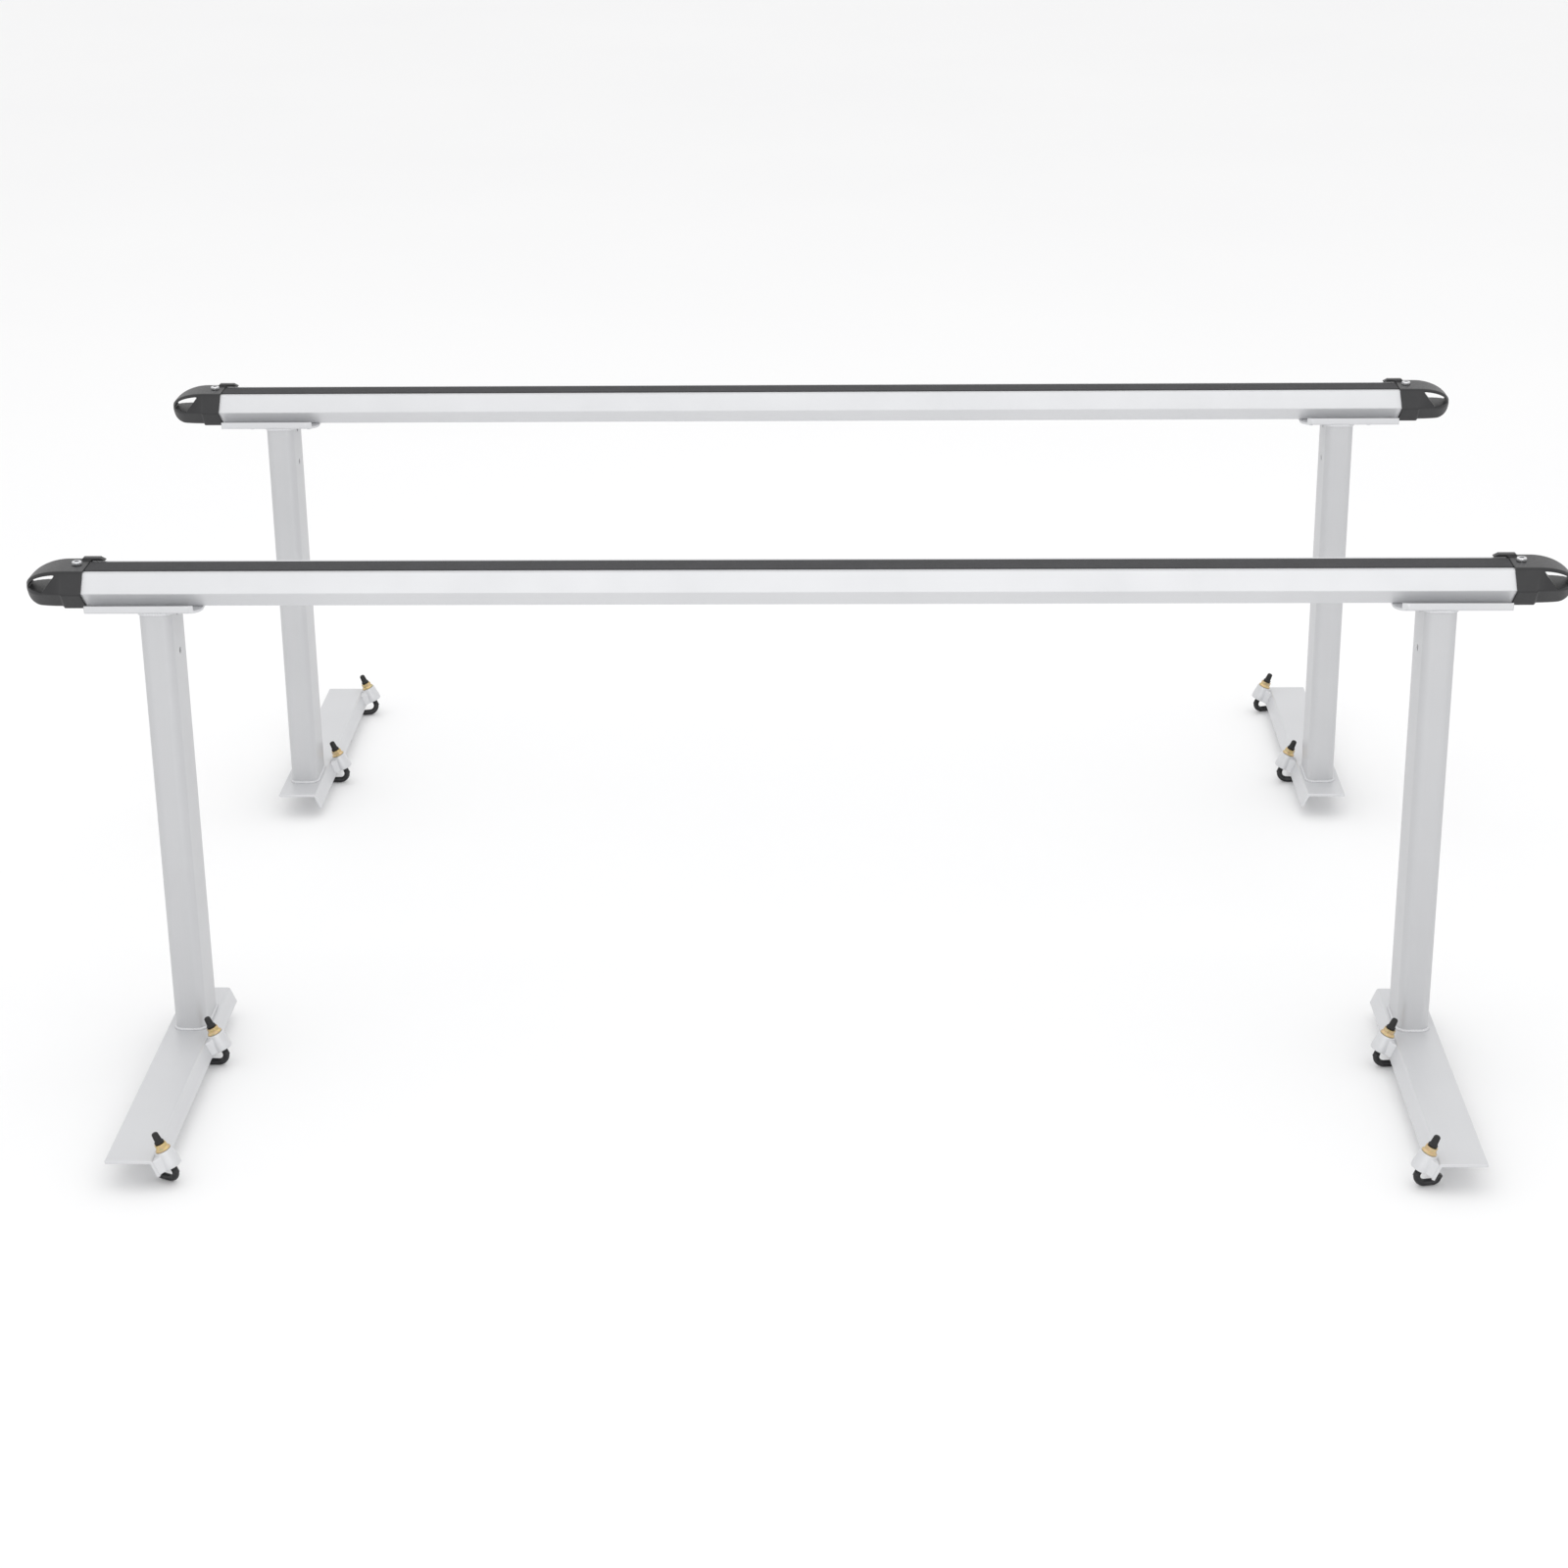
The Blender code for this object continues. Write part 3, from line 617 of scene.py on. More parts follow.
def loops_mesh(*loops):
    """Closed loops of points as a mesh of edges, for a tree to fill or follow."""
    bm = bmesh.new()
    for loop in loops:
        ring = [bm.verts.new(point if len(point) == 3 else (*point, 0)) for point in loop]
        for pair in zip(ring, ring[1:] + ring[:1]):
            bm.edges.new(pair)
    mesh = bpy.data.meshes.new("loops")
    bm.to_mesh(mesh)
    bm.free()
    return mesh


# %% The extrusion tree
def extrusion_tree():
    graph, given = geometry_tree("extrusion", ["Length"])
    line = graph.node("GeometryNodeMeshToCurve", inputs={"Mesh": given["Shape"]})
    face = graph.node("GeometryNodeFillCurve", inputs={"Curve": line})
    reach = graph.node("ShaderNodeCombineXYZ", inputs={"Z": given["Length"]})
    settings = {"Mesh": face, "Offset": reach, "Offset Scale": 1.0, "Individual": False}
    raised = graph.node("GeometryNodeExtrudeMesh", {"mode": "FACES"}, settings)
    floor_face = graph.node("GeometryNodeFlipFaces", inputs={"Mesh": face})
    both = graph.tree.nodes.new("GeometryNodeJoinGeometry")
    for part in (raised, floor_face):
        graph.tree.links.new(part.socket, both.inputs[0])
    weld = {"Geometry": Value(graph, both.outputs[0]), "Distance": 0.000005}
    closed = graph.node("GeometryNodeMergeByDistance", inputs=weld)
    return end_tree(graph, closed, given["Finish"])


extrusion = extrusion_tree()
ALONG_BAR = Matrix(((0, 0, 1, 0), (1, 0, 0, 0), (0, 1, 0, 0), (0, 0, 0, 1)))
ALONG_ANGLE = Matrix(((1, 0, 0, 0), (0, 0, -1, 0), (0, 1, 0, 0), (0, 0, 0, 1)))


def extruded(loops, low, high, coat, lay=None):
    """An extrusion between two levels, laid along Z or turned to lie along the bar or the angle."""
    mesh = run_tree(extrusion, loops_mesh(*loops), coat, Length=high - low)
    mesh.transform(Matrix.Translation((0, 0, low)))
    if lay:
        mesh.transform(lay)
    return mesh


print("extrusion tree with", len(extrusion.nodes), "nodes")

# %% [markdown]
# ## Crossbar
# The crossbar is a six-sided aluminium extrusion, widest at an arris a little below its middle. It is
# hollow, has a T-slot underneath for the brackets' bolts and a dovetail groove on top for the rubber. A die
# never leaves a knife edge, so each outer corner gets a small radius, which is what catches the light.

# %% Crossbar section
GAP = 0.0003
BAR_HEIGHT = 0.042
BAR_HALVES = {0.0: 0.018, 0.018: 0.030, 0.042: 0.025}
ARRIS_HEIGHT = 0.018
BAR_WALL = 0.0028
SLOT_HALF_MOUTH = 0.0055
SLOT_HALF_ROOM = 0.0105
SLOT_LIP = 0.003
SLOT_TOP = 0.0095
GROOVE_DEPTH = 0.004
STRIP_HALF = 0.017
STRIP_DOVETAIL = 0.0012
ARRIS_RADIUS = 0.0024
CORNER_RADIUS = 0.0009


def half_width(height):
    """Half the bar's width at a height above its underside."""
    if height < ARRIS_HEIGHT:
        share = height / ARRIS_HEIGHT
        return BAR_HALVES[0.0] + (BAR_HALVES[ARRIS_HEIGHT] - BAR_HALVES[0.0]) * share
    share = (height - ARRIS_HEIGHT) / (BAR_HEIGHT - ARRIS_HEIGHT)
    return BAR_HALVES[ARRIS_HEIGHT] + (BAR_HALVES[BAR_HEIGHT] - BAR_HALVES[ARRIS_HEIGHT]) * share


def bar_corners():
    """The bar's six outer corners, without slot and groove."""
    return mirrored([(half, height) for height, half in BAR_HALVES.items()])


def bar_section():
    groove = STRIP_HALF + GAP
    right = [(SLOT_HALF_ROOM, SLOT_TOP), (SLOT_HALF_ROOM, SLOT_LIP)]
    right += [(SLOT_HALF_MOUTH, SLOT_LIP), (SLOT_HALF_MOUTH, 0)]
    right += [(half, height) for height, half in BAR_HALVES.items()]
    right += [(groove, BAR_HEIGHT), (groove + STRIP_DOVETAIL, BAR_HEIGHT - GROOVE_DEPTH)]
    lip = CORNER_RADIUS / 3
    right_radii = [lip, lip, lip, lip, CORNER_RADIUS, ARRIS_RADIUS, CORNER_RADIUS, lip, lip]
    return rounded(mirrored(right), right_radii + right_radii[::-1])


def bar_hollow():
    levels = (SLOT_TOP + BAR_WALL, ARRIS_HEIGHT, BAR_HEIGHT - GROOVE_DEPTH - BAR_WALL)
    return mirrored([(half_width(level) - BAR_WALL, level) for level in levels])


# %% Crossbars
for name, place in bars.items():
    low, high = local_box(f"crossbar_{name}", place)
    bar = extruded([bar_section(), bar_hollow()], low.x, high.x, bar_silver, ALONG_BAR)
    bar = shaped(smooth(bar, 40), ("WEIGHTED_NORMAL", {"keep_sharp": True}))
    body = f"{name}_crossbar"
    add_piece(f"bar_profile_{name}", bar, place, bar_silver, body, f"crossbar_{name}")
    print("bar", name, "is", round(high.x - low.x, 4), "m long with", len(bar.polygons), "faces")

# %% [markdown]
# ## Rubber strip
# A strip of rubber keeps the load from sliding and from denting the bar. It is pulled into the groove from
# one end, so it is an extrusion too. Its top has shallow ribs along its length. They follow a rule, so the
# section comes from a loop: each rib is half a sine wave on a flat crown.

# %% Strip section and strips
STRIP_CROWN = 0.0435
STRIP_FLOOR = BAR_HEIGHT - GROOVE_DEPTH + GAP
STRIP_RIBS = 9
RIB_DEPTH = 0.00045
RIB_POINTS = 8
STRIP_EDGE = 0.0007


def strip_section():
    ribbed = STRIP_HALF - 2 * STRIP_EDGE
    crown = []
    for step in range(STRIP_RIBS * RIB_POINTS + 1):
        share = step / (STRIP_RIBS * RIB_POINTS)
        wave = abs(math.sin(math.pi * STRIP_RIBS * share))
        crown.append((ribbed * (1 - 2 * share), STRIP_CROWN - RIB_DEPTH * (1 - wave)))
    foot = STRIP_HALF + STRIP_DOVETAIL - GAP
    right = [(foot, STRIP_FLOOR), (STRIP_HALF, BAR_HEIGHT)]
    right += fillet(right[1], (STRIP_HALF, STRIP_CROWN), crown[0], STRIP_EDGE, 4)
    return right + crown + [(-a, b) for a, b in reversed(right)]


for name, place in bars.items():
    low, high = local_box(f"rubber_strip_{name}", place)
    strip = smooth(extruded([strip_section()], low.x, high.x, strip_rubber, ALONG_BAR), 50)
    body = f"{name}_crossbar"
    add_piece(f"top_strip_{name}", strip, place, strip_rubber, body, f"rubber_strip_{name}")
    print("strip", name, "has", len(strip.polygons), "faces")

# %% [markdown]
# ## End caps
# Each cap is one plastic moulding: a sleeve around the bar, a nose that rounds over like a thumb, an
# opening through the nose that leaves a tie-down loop, and a low rib that runs on over the bar as a beak.
# The nose is a row of sections that shrink along a quarter ellipse. The opening and the inside are cut with
# Booleans, and a fine remesh then softens every edge at once, which hand-placed bevels would not do where
# the opening meets the curved nose.

# %% End cap sizes
CAP_LENGTH = 0.073
SLEEVE_LENGTH = 0.026
SLEEVE_WALL = 0.0025
SLEEVE_STEP = 0.0015
SLEEVE_NOTCH = 0.0032
NOTCH_RUN_OUT = 0.001
CAP_CORNER = 0.0034
NOSE_MIDDLE = 0.020
NOSE_CHIN = 0.020
NOSE_SECTIONS = 22
STRAP = 0.004
LOOP_FOOT = 0.0235
LOOP_ANGLES = (4, 81)
LOOP_STEPS = 20
WING_LENGTH = 0.017
WING_HEIGHT = 0.0030
WING_DEPTH = 0.0087
WING_ROOT = 0.012
WING_INSET = 0.0015
WING_CLEARANCE = 0.0016
SCREW_SETBACK = 0.012
SCREW_HOLE = 0.0033
NOSE = CAP_LENGTH - SLEEVE_LENGTH


def nose_ring(outline, from_tip):
    """The sleeve's outline, narrowed to the nose's section at a distance from its tip."""
    size = math.sqrt(1 - (1 - min(from_tip / NOSE, 1)) ** 2)
    chin = math.sqrt(1 - (1 - min(from_tip / NOSE_CHIN, 1)) ** 2)
    bottom = min(height for _, height in outline)
    top = max(height for _, height in outline)
    low = NOSE_MIDDLE * (1 - chin)
    high = NOSE_MIDDLE + (top - NOSE_MIDDLE) * size
    return [(a * size, low + (b - bottom) * (high - low) / (top - bottom)) for a, b in outline]


def cap_blank(outline):
    """Sleeve and nose as one solid, before anything is cut out of it."""
    angles = [math.pi / 2 * step / NOSE_SECTIONS for step in range(1, NOSE_SECTIONS)]
    distances = [NOSE - SLEEVE_STEP] + [NOSE * (1 - math.sin(angle)) for angle in angles]
    sections = [(0, outline), (SLEEVE_LENGTH, outline)]
    sections += [(CAP_LENGTH - d, nose_ring(outline, d)) for d in distances if d <= NOSE - SLEEVE_STEP]
    bm = bmesh.new()
    rings = [[bm.verts.new((x, y, z)) for y, z in points] for x, points in sections]
    rings.append([bm.verts.new((CAP_LENGTH, 0, NOSE_MIDDLE))])
    skin(bm, rings)
    return mesh_of(bm)


def loop_hole():
    """The tie-down opening from the side: distance from the sleeve's inner end, and height."""
    rise = BAR_HEIGHT + SLEEVE_WALL - NOSE_MIDDLE
    points = [(CAP_LENGTH - LOOP_FOOT, NOSE_MIDDLE - STRAP / 4)]
    first, last = LOOP_ANGLES
    for step in range(LOOP_STEPS + 1):
        angle = math.radians(first + (last - first) * step / LOOP_STEPS)
        across = NOSE - (NOSE - STRAP) * math.cos(angle)
        points.append((CAP_LENGTH - across, NOSE_MIDDLE + (rise - STRAP) * math.sin(angle)))
    return points


# %% End cap shape
def wing():
    """The low rib on the rear top edge that ends as a beak over the bar."""
    top = BAR_HEIGHT + SLEEVE_WALL + WING_HEIGHT
    low = BAR_HEIGHT + WING_CLEARANCE
    tip = -WING_LENGTH
    nose_side = [(WING_ROOT, low), (WING_ROOT - WING_HEIGHT, top)]
    return nose_side + [(tip + 2 * WING_HEIGHT, top), (tip, low + WING_HEIGHT / 4), (tip, low)]


def sleeve_notch():
    """A shallow V across the sleeve's open end, deepest at the bar's arris."""
    outside, below = -NOTCH_RUN_OUT, -2 * SLEEVE_WALL
    vee = [(0, 0), (SLEEVE_NOTCH, ARRIS_HEIGHT), (0, BAR_HEIGHT)]
    return [(outside, below), (0, below), *vee, (outside, BAR_HEIGHT)]


def end_cap():
    """The right-hand cap. X runs outward from the sleeve's open end."""
    blank = cap_blank(rounded(grown(bar_corners(), GAP + SLEEVE_WALL), CAP_CORNER))
    rear = BAR_HALVES[BAR_HEIGHT] + SLEEVE_WALL - WING_INSET
    wide = 2 * BAR_HALVES[ARRIS_HEIGHT]
    solid = joined(blank, prism([wing()], rear - WING_DEPTH, rear, along_y))
    solid = cut(
        solid,
        prism([grown(bar_corners(), GAP)], -2 * WING_LENGTH, SLEEVE_LENGTH, along_x),
        prism([loop_hole()], -wide, wide, along_y),
        prism([circle(SCREW_HOLE, 24, (SCREW_SETBACK, 0))], BAR_HEIGHT - BAR_WALL, 2 * BAR_HEIGHT, along_z),
        prism([sleeve_notch()], -wide, wide, along_y),
    )
    return moulded(solid, cell=0.00065, rounds=3, share=0.22)


def flipped(mesh):
    """The mirror image across X, with its faces turned out again."""
    bm = bmesh.new()
    bm.from_mesh(mesh)
    bmesh.ops.scale(bm, vec=(-1, 1, 1), verts=bm.verts[:])
    bmesh.ops.recalc_face_normals(bm, faces=bm.faces[:])
    return smooth(mesh_of(bm), 60)


cap_right = end_cap()
cap_shapes = {"right": cap_right, "left": flipped(cap_right)}
print("an end cap has", len(cap_right.polygons), "faces")

# %% End caps in place
def cap_place(tag, side):
    """The open end of a sleeve: as far in from the cap's tip as the cap is long."""
    name = tag.split("_")[0]
    low, high = local_box(f"end_cap_{tag}", bars[name])
    tip = high.x if SIDES[side] > 0 else low.x
    return bars[name] @ Matrix.Translation((tip - SIDES[side] * CAP_LENGTH, 0, 0))


for tag in uprights:
    name, side = tag.split("_")
    place = cap_place(tag, side)
    add_piece(f"cap_shell_{tag}", cap_shapes[side], place, cap_plastic, f"{name}_crossbar",
              f"end_cap_{tag}")
print("end caps placed")

# %% [markdown]
# ## Knurled cap screws
# One socket head screw holds each cap. Its head is turned, with a domed edge, a hexagon socket and a
# knurled rim. The knurl is the same small ridge all the way round, so a tree makes it: a ring of points,
# one ridge on each, turned to face outward.

# %% Knurl tree
RIDGE_DEPTH = 0.09  # shares of the head's radius
RIDGE_WIDTH = 0.11


def knurl_tree():
    graph, given = geometry_tree("knurl", ["Radius", "Ridges", "Ridge height"])
    ring_sizes = {"Vertices": given["Ridges"], "Radius": given["Radius"]}
    ring = graph.node("GeometryNodeMeshCircle", inputs=ring_sizes)
    size = graph.node("ShaderNodeCombineXYZ", inputs={
        "X": given["Radius"] * RIDGE_DEPTH, "Y": given["Radius"] * RIDGE_WIDTH, "Z": given["Ridge height"]})
    ridge = graph.node("GeometryNodeMeshCube", inputs={"Size": size})
    index = graph.node("GeometryNodeInputIndex")
    around = index * math.tau / given["Ridges"] + math.pi / 4
    turn = graph.node("ShaderNodeCombineXYZ", inputs={"Z": around})
    copies = graph.node("GeometryNodeInstanceOnPoints", inputs={
        "Points": ring, "Instance": ridge, "Rotation": turn})
    return end_tree(graph, copies, given["Finish"])


knurl = knurl_tree()
SCREW_HEAD = 0.006
SCREW_HEAD_HEIGHT = 0.004
SCREW_SHANK = 0.0029
SCREW_LENGTH = 0.016
SOCKET_RADIUS = 0.0031
SOCKET_DEPTH = 0.0026
SCREW_DOME = 0.0011
SCREW_CHAMFER = 0.0003
KNURL_RIDGES = 36
KNURL_STAND = 0.00018  # how far the ridges stand out from the turned head
KNURL_HEIGHT = 0.0018
KNURL_MIDDLE = 0.0015


def joined_parts(*meshes):
    """Several closed meshes as one mesh."""
    bm = bmesh.new()
    for mesh in meshes:
        bm.from_mesh(mesh)
    made = bpy.data.meshes.new("parts")
    bm.to_mesh(made)
    bm.free()
    return made


def cap_screw():
    """Z runs up from the underside of the head."""
    rim = SCREW_HEAD - KNURL_STAND
    crown = SCREW_HEAD_HEIGHT
    dome = fillet((rim, 0), (rim, crown), (0, crown), SCREW_DOME, 6)
    profile = [(0, -SCREW_LENGTH), (SCREW_SHANK, -SCREW_LENGTH), (SCREW_SHANK, 0)]
    profile += [(rim - SCREW_CHAMFER, 0), (rim, SCREW_CHAMFER), *dome, (0, crown)]
    socket = prism([circle(SOCKET_RADIUS, 6)], crown - SOCKET_DEPTH, 2 * crown, along_z)
    head = smooth(cut(turned(profile, 48), socket), 40)
    sizes = {"Radius": rim, "Ridges": KNURL_RIDGES, "Ridge_height": KNURL_HEIGHT}
    ridges = run_tree(knurl, bpy.data.meshes.new("empty"), screw_steel, **sizes)
    ridges.transform(Matrix.Translation((0, 0, KNURL_MIDDLE)))
    return joined_parts(head, ridges)


screw = cap_screw()
for tag in uprights:
    name = tag.split("_")[0]
    low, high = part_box(f"cap_screw_{tag}")
    spot = Matrix.Translation(((low.x + high.x) / 2, (low.y + high.y) / 2, high.z - SCREW_HEAD_HEIGHT))
    add_piece(f"cap_bolt_{tag}", screw, spot, screw_steel, f"{name}_crossbar",
              f"cap_screw_{tag}")
print("cap screws have", len(screw.polygons), "faces")

# %% [markdown]
# ## Brackets and their slot bolts
# A bent channel under each end of the crossbar carries it on the post. Its lips hold the bar's lower
# edges, and its inner corners are rounded in plan. It is made the way it is pressed: a channel, trimmed
# by the outline of its blank, with all edges broken by a small bevel. Two studs come down from a plate in
# the T-slot and are drawn tight by nuts, whose corners are chamfered by a cone.

# %% Bracket
BRACKET_WALL = 0.003
BRACKET_CORNER = 0.018
BRACKET_OUTER_CORNER = 0.002
BRACKET_BEND = 0.0030
BRACKET_EDGE = 0.0008
STUD_RADIUS = 0.004
STUD_CLEARANCE = 0.0004
STUD_SPOTS = [(0.045, 0), (-0.036, 0)]
EDGE_BREAK = 0.0006
HEX_DROP = 0.10  # the chamfer's height and end radius, as shares of the hexagon's radius
HEX_END = 0.9
HEX_WAIST = 0.0002


def bracket(low, high, underside):
    """X runs outward from the post's middle. Underside is the level of the crossbar's underside."""
    top = underside - GAP
    outer, inner = high.y, high.y - BRACKET_WALL
    inward, outward = low.x, high.x
    right = [(outer, low.z), (outer, high.z), (inner, high.z), (inner, top)]
    radii = [BRACKET_BEND, BRACKET_EDGE, BRACKET_EDGE, BRACKET_EDGE]
    channel = prism([rounded(mirrored(right), radii + radii[::-1])], inward, outward, along_x)
    corners = [(inward, -outer), (outward, -outer), (outward, outer), (inward, outer)]
    outer_corner = BRACKET_OUTER_CORNER
    plan = rounded(corners, [BRACKET_CORNER, outer_corner, outer_corner, BRACKET_CORNER], 12)
    holes = [circle(STUD_RADIUS + STUD_CLEARANCE, 24, spot) for spot in STUD_SPOTS]
    blank = prism([plan, *holes], low.z - outer, high.z + outer, along_z)
    return eased(combined(channel, blank, "INTERSECT"), EDGE_BREAK, 2)


def chamfered_hexagon(radius, low, high):
    """A hexagon whose corners are cut back by a cone at both ends."""
    drop = radius * HEX_DROP
    end = radius * HEX_END
    waist = radius + HEX_WAIST
    profile = [(0, low), (end, low), (waist, low + drop), (waist, high - drop), (end, high), (0, high)]
    cone = turned(profile, 48)
    return combined(prism([circle(radius, 6)], low - drop, high + drop, along_z), cone, "INTERSECT")


# %% Slot bolts
NUT_HEX = 0.0075
SLOT_NUT_HEIGHT = 0.0065
T_PLATE_THICKNESS = 0.004
T_PLATE_CORNER = 0.001
STUD_END = 0.003  # how far a stud comes out under its nut
STUD_CHAMFER = 0.0007
STUD_TOP_DROP = 0.001


def slot_bolts(low, high):
    """A plate in the T-slot with two studs, each with its nut."""
    plate_base = high.z - T_PLATE_THICKNESS
    outline = [(low.x, low.y), (high.x, low.y), (high.x, high.y), (low.x, high.y)]
    solid = prism([rounded(outline, T_PLATE_CORNER)], plate_base, high.z, along_z)
    nut_base = low.z + STUD_END
    stud_top = high.z - STUD_TOP_DROP
    for x, y in STUD_SPOTS:
        shift = Matrix.Translation((x, y, 0))
        tail = [(0, low.z), (STUD_RADIUS - STUD_CHAMFER, low.z), (STUD_RADIUS, low.z + STUD_CHAMFER)]
        stud = turned([*tail, (STUD_RADIUS, stud_top), (0, stud_top)], 24)
        nut = chamfered_hexagon(NUT_HEX, nut_base, nut_base + SLOT_NUT_HEIGHT)
        for part in (stud, nut):
            part.transform(shift)
        solid = joined(solid, stud, nut)
    return smooth(solid, 25)


for tag, place in uprights.items():
    name = tag.split("_")[0]
    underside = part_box(f"crossbar_{name}")[0].z - place.translation.z
    saddle = bracket(*local_box(f"bracket_{tag}", place), underside)
    bolts = slot_bolts(*local_box(f"slot_bolts_{tag}", place))
    body = f"upright_{tag}"
    add_piece(f"saddle_{tag}", saddle, place, cast_silver, body, f"bracket_{tag}")
    add_piece(f"saddle_bolts_{tag}", bolts, place, screw_steel, body, f"slot_bolts_{tag}")
print("a bracket has", len(saddle.polygons), "faces")

# %% [markdown]
# ## Posts
# A post is a length of rounded rectangular tube, so it is an extrusion again. Two threaded accessory holes
# near its top are drilled from the inner side and lightly countersunk, so the cutter is a turned shape
# with a small cone at its mouth.

# %% Posts
POST_CORNER = 0.011
POST_WALL = 0.0025
POST_HOLE = 0.004
POST_HOLE_DROPS = (0.009, 0.057)
COUNTERSINK = 0.0006
DRILL_START = -0.004
DRILL_DEPTH = 0.008


def post_hole(face, level):
    """A drill that enters the post's inner face from outside. Its mouth is a little wider."""
    mouth = POST_HOLE + COUNTERSINK
    profile = [(0, DRILL_START), (mouth, DRILL_START), (mouth, 0)]
    profile += [(POST_HOLE, COUNTERSINK), (POST_HOLE, DRILL_DEPTH), (0, DRILL_DEPTH)]
    drill = turned(profile, 32)
    drill.transform(Matrix.Translation((face, 0, level)) @ turned_about("Y", math.pi / 2))
    return drill


def post_tube(low, high):
    wide, deep = high.x - low.x, high.y - low.y
    outer = rounded(box(wide, deep), POST_CORNER, 12)
    inner = rounded(box(wide - 2 * POST_WALL, deep - 2 * POST_WALL), POST_CORNER - POST_WALL, 8)
    tube = extruded([outer, inner], low.z, high.z, post_silver_painted_shade)
    tube = cut(tube, *[post_hole(low.x, high.z - drop) for drop in POST_HOLE_DROPS])
    return shaped(smooth(tube, 30), ("WEIGHTED_NORMAL", {"keep_sharp": True}))


for tag, place in uprights.items():
    low, high = local_box(f"post_{tag}", place)
    tube = post_tube(low, high)
    add_piece(f"post_tube_{tag}", tube, place, post_silver_painted_shade, f"upright_{tag}",
              f"post_{tag}")
print("a post has", len(tube.polygons), "faces")

# %% [markdown]
# ## Weld beads
# The post is welded to the bracket above it and to the angle below it. A weld bead is a row of small
# ripples, laid one after the other along the joint. The tree follows the post's outline, and the bead's
# thickness goes up and down with the distance along it, with a slower unevenness from a seeded noise.

# %% Weld tree
UNEVEN_SCALE = 90.0
UNEVEN_SHARE = 0.5


def weld_tree():
    graph, given = geometry_tree("weld bead", ["Bead", "Pitch", "Ripple", "Seed"])
    line = graph.node("GeometryNodeMeshToCurve", inputs={"Mesh": given["Shape"]})
    step = {"Curve": line, "Length": given["Pitch"] / 5}
    fine = graph.node("GeometryNodeResampleCurve", {"mode": "LENGTH"}, step)
    along = graph.node("GeometryNodeSplineParameter", output="Length")
    turn = along / given["Pitch"] * math.tau
    wave = turn.math("SINE", turn)
    spot = {"W": given["Seed"], "Scale": UNEVEN_SCALE, "Detail": 1.0}
    uneven = graph.node("ShaderNodeTexNoise", {"noise_dimensions": "4D"}, spot)
    size = given["Bead"] * (1 + wave * given["Ripple"] + (uneven - 0.5) * UNEVEN_SHARE)
    sized = graph.node("GeometryNodeSetCurveRadius", inputs={"Curve": fine, "Radius": size})
    ring = graph.node("GeometryNodeCurvePrimitiveCircle", inputs={"Resolution": 10, "Radius": 1.0})
    radius = graph.node("GeometryNodeInputRadius")
    sweep = {"Curve": sized, "Profile Curve": ring, "Scale": radius}
    swept = graph.node("GeometryNodeCurveToMesh", inputs=sweep)
    bead = graph.node("GeometryNodeSetShadeSmooth", inputs={"Geometry": swept})
    return end_tree(graph, bead, given["Finish"])


weld = weld_tree()
BEAD = 0.0022
BEAD_PITCH = 0.0034
BEAD_RIPPLE = 0.10
BEAD_INSET = 0.0006


def weld_around(low, high, level, seed):
    """A bead around the post at a level, half sunk in the corner that it fills."""
    outline = rounded(box(high.x - low.x, high.y - low.y), POST_CORNER, 8)
    path = [(a, b, level) for a, b in outline]
    sizes = {"Bead": BEAD, "Pitch": BEAD_PITCH, "Ripple": BEAD_RIPPLE, "Seed": float(seed)}
    return run_tree(weld, loops_mesh(path), cast_silver, **sizes)


for seed, (tag, place) in enumerate(uprights.items()):
    low, high = local_box(f"post_{tag}", place)
    foot = weld_around(low, high, low.z + BEAD_INSET, seed)
    head = weld_around(low, high, high.z - BEAD_INSET, seed + len(uprights))
    add_piece(f"post_welds_{tag}", joined_parts(foot, head), place, cast_silver, f"upright_{tag}")
print("a weld bead has", len(foot.polygons), "faces")

# %% [markdown]
# ## Base angles
# Each post stands on an angle: a flat plate that lies on the bed rail, and a flange that leans inward and
# down beside it. It is one more extrusion. The bend's outside has a generous radius, and the sawn ends are
# broken by a small bevel.

# %% Base angles
PLATE_WIDTH = 0.054
BASE_WALL = 0.004
FLANGE_LENGTH = 0.021
BEND_RADIUS = 0.0035
FLANGE_EDGE = 0.0008
INNER_BEND = 0.0010
PLATE_EDGE = 0.0012
SAWN_EDGE = 0.0007


def angle_section(outer, top, lean):
    bend = outer - PLATE_WIDTH
    slope, upright = math.sin(lean), math.cos(lean)
    foot = (bend - FLANGE_LENGTH * slope, top - FLANGE_LENGTH * upright)
    heel = (foot[0] + BASE_WALL * upright, foot[1] - BASE_WALL * slope)
    rise = top - BASE_WALL - heel[1]
    inside = (heel[0] + rise * slope / upright, top - BASE_WALL)
    corners = [(bend, top), foot, heel, inside, (outer, top - BASE_WALL), (outer, top)]
    radii = [BEND_RADIUS, FLANGE_EDGE, FLANGE_EDGE, INNER_BEND, PLATE_EDGE, PLATE_EDGE]
    return rounded(corners, radii, 6)


def base_angle(low, high, lean):
    length = high.y - low.y
    section = angle_section(high.x, high.z, lean)
    solid = extruded([section], 0, length, angle_silver, ALONG_ANGLE)
    solid.transform(Matrix.Translation((0, high.y, 0)))
    return eased(solid, SAWN_EDGE, 2)


for tag, place in uprights.items():
    axis = joints[f"nut_turn_{tag}_post"]["axis"]
    lean = math.acos(axis[2])
    angle = base_angle(*local_box(f"base_angle_{tag}", place), lean)
    add_piece(f"rail_angle_{tag}", angle, place, angle_silver, f"upright_{tag}", f"base_angle_{tag}")
print("the flange leans", round(math.degrees(lean), 1), "degrees")

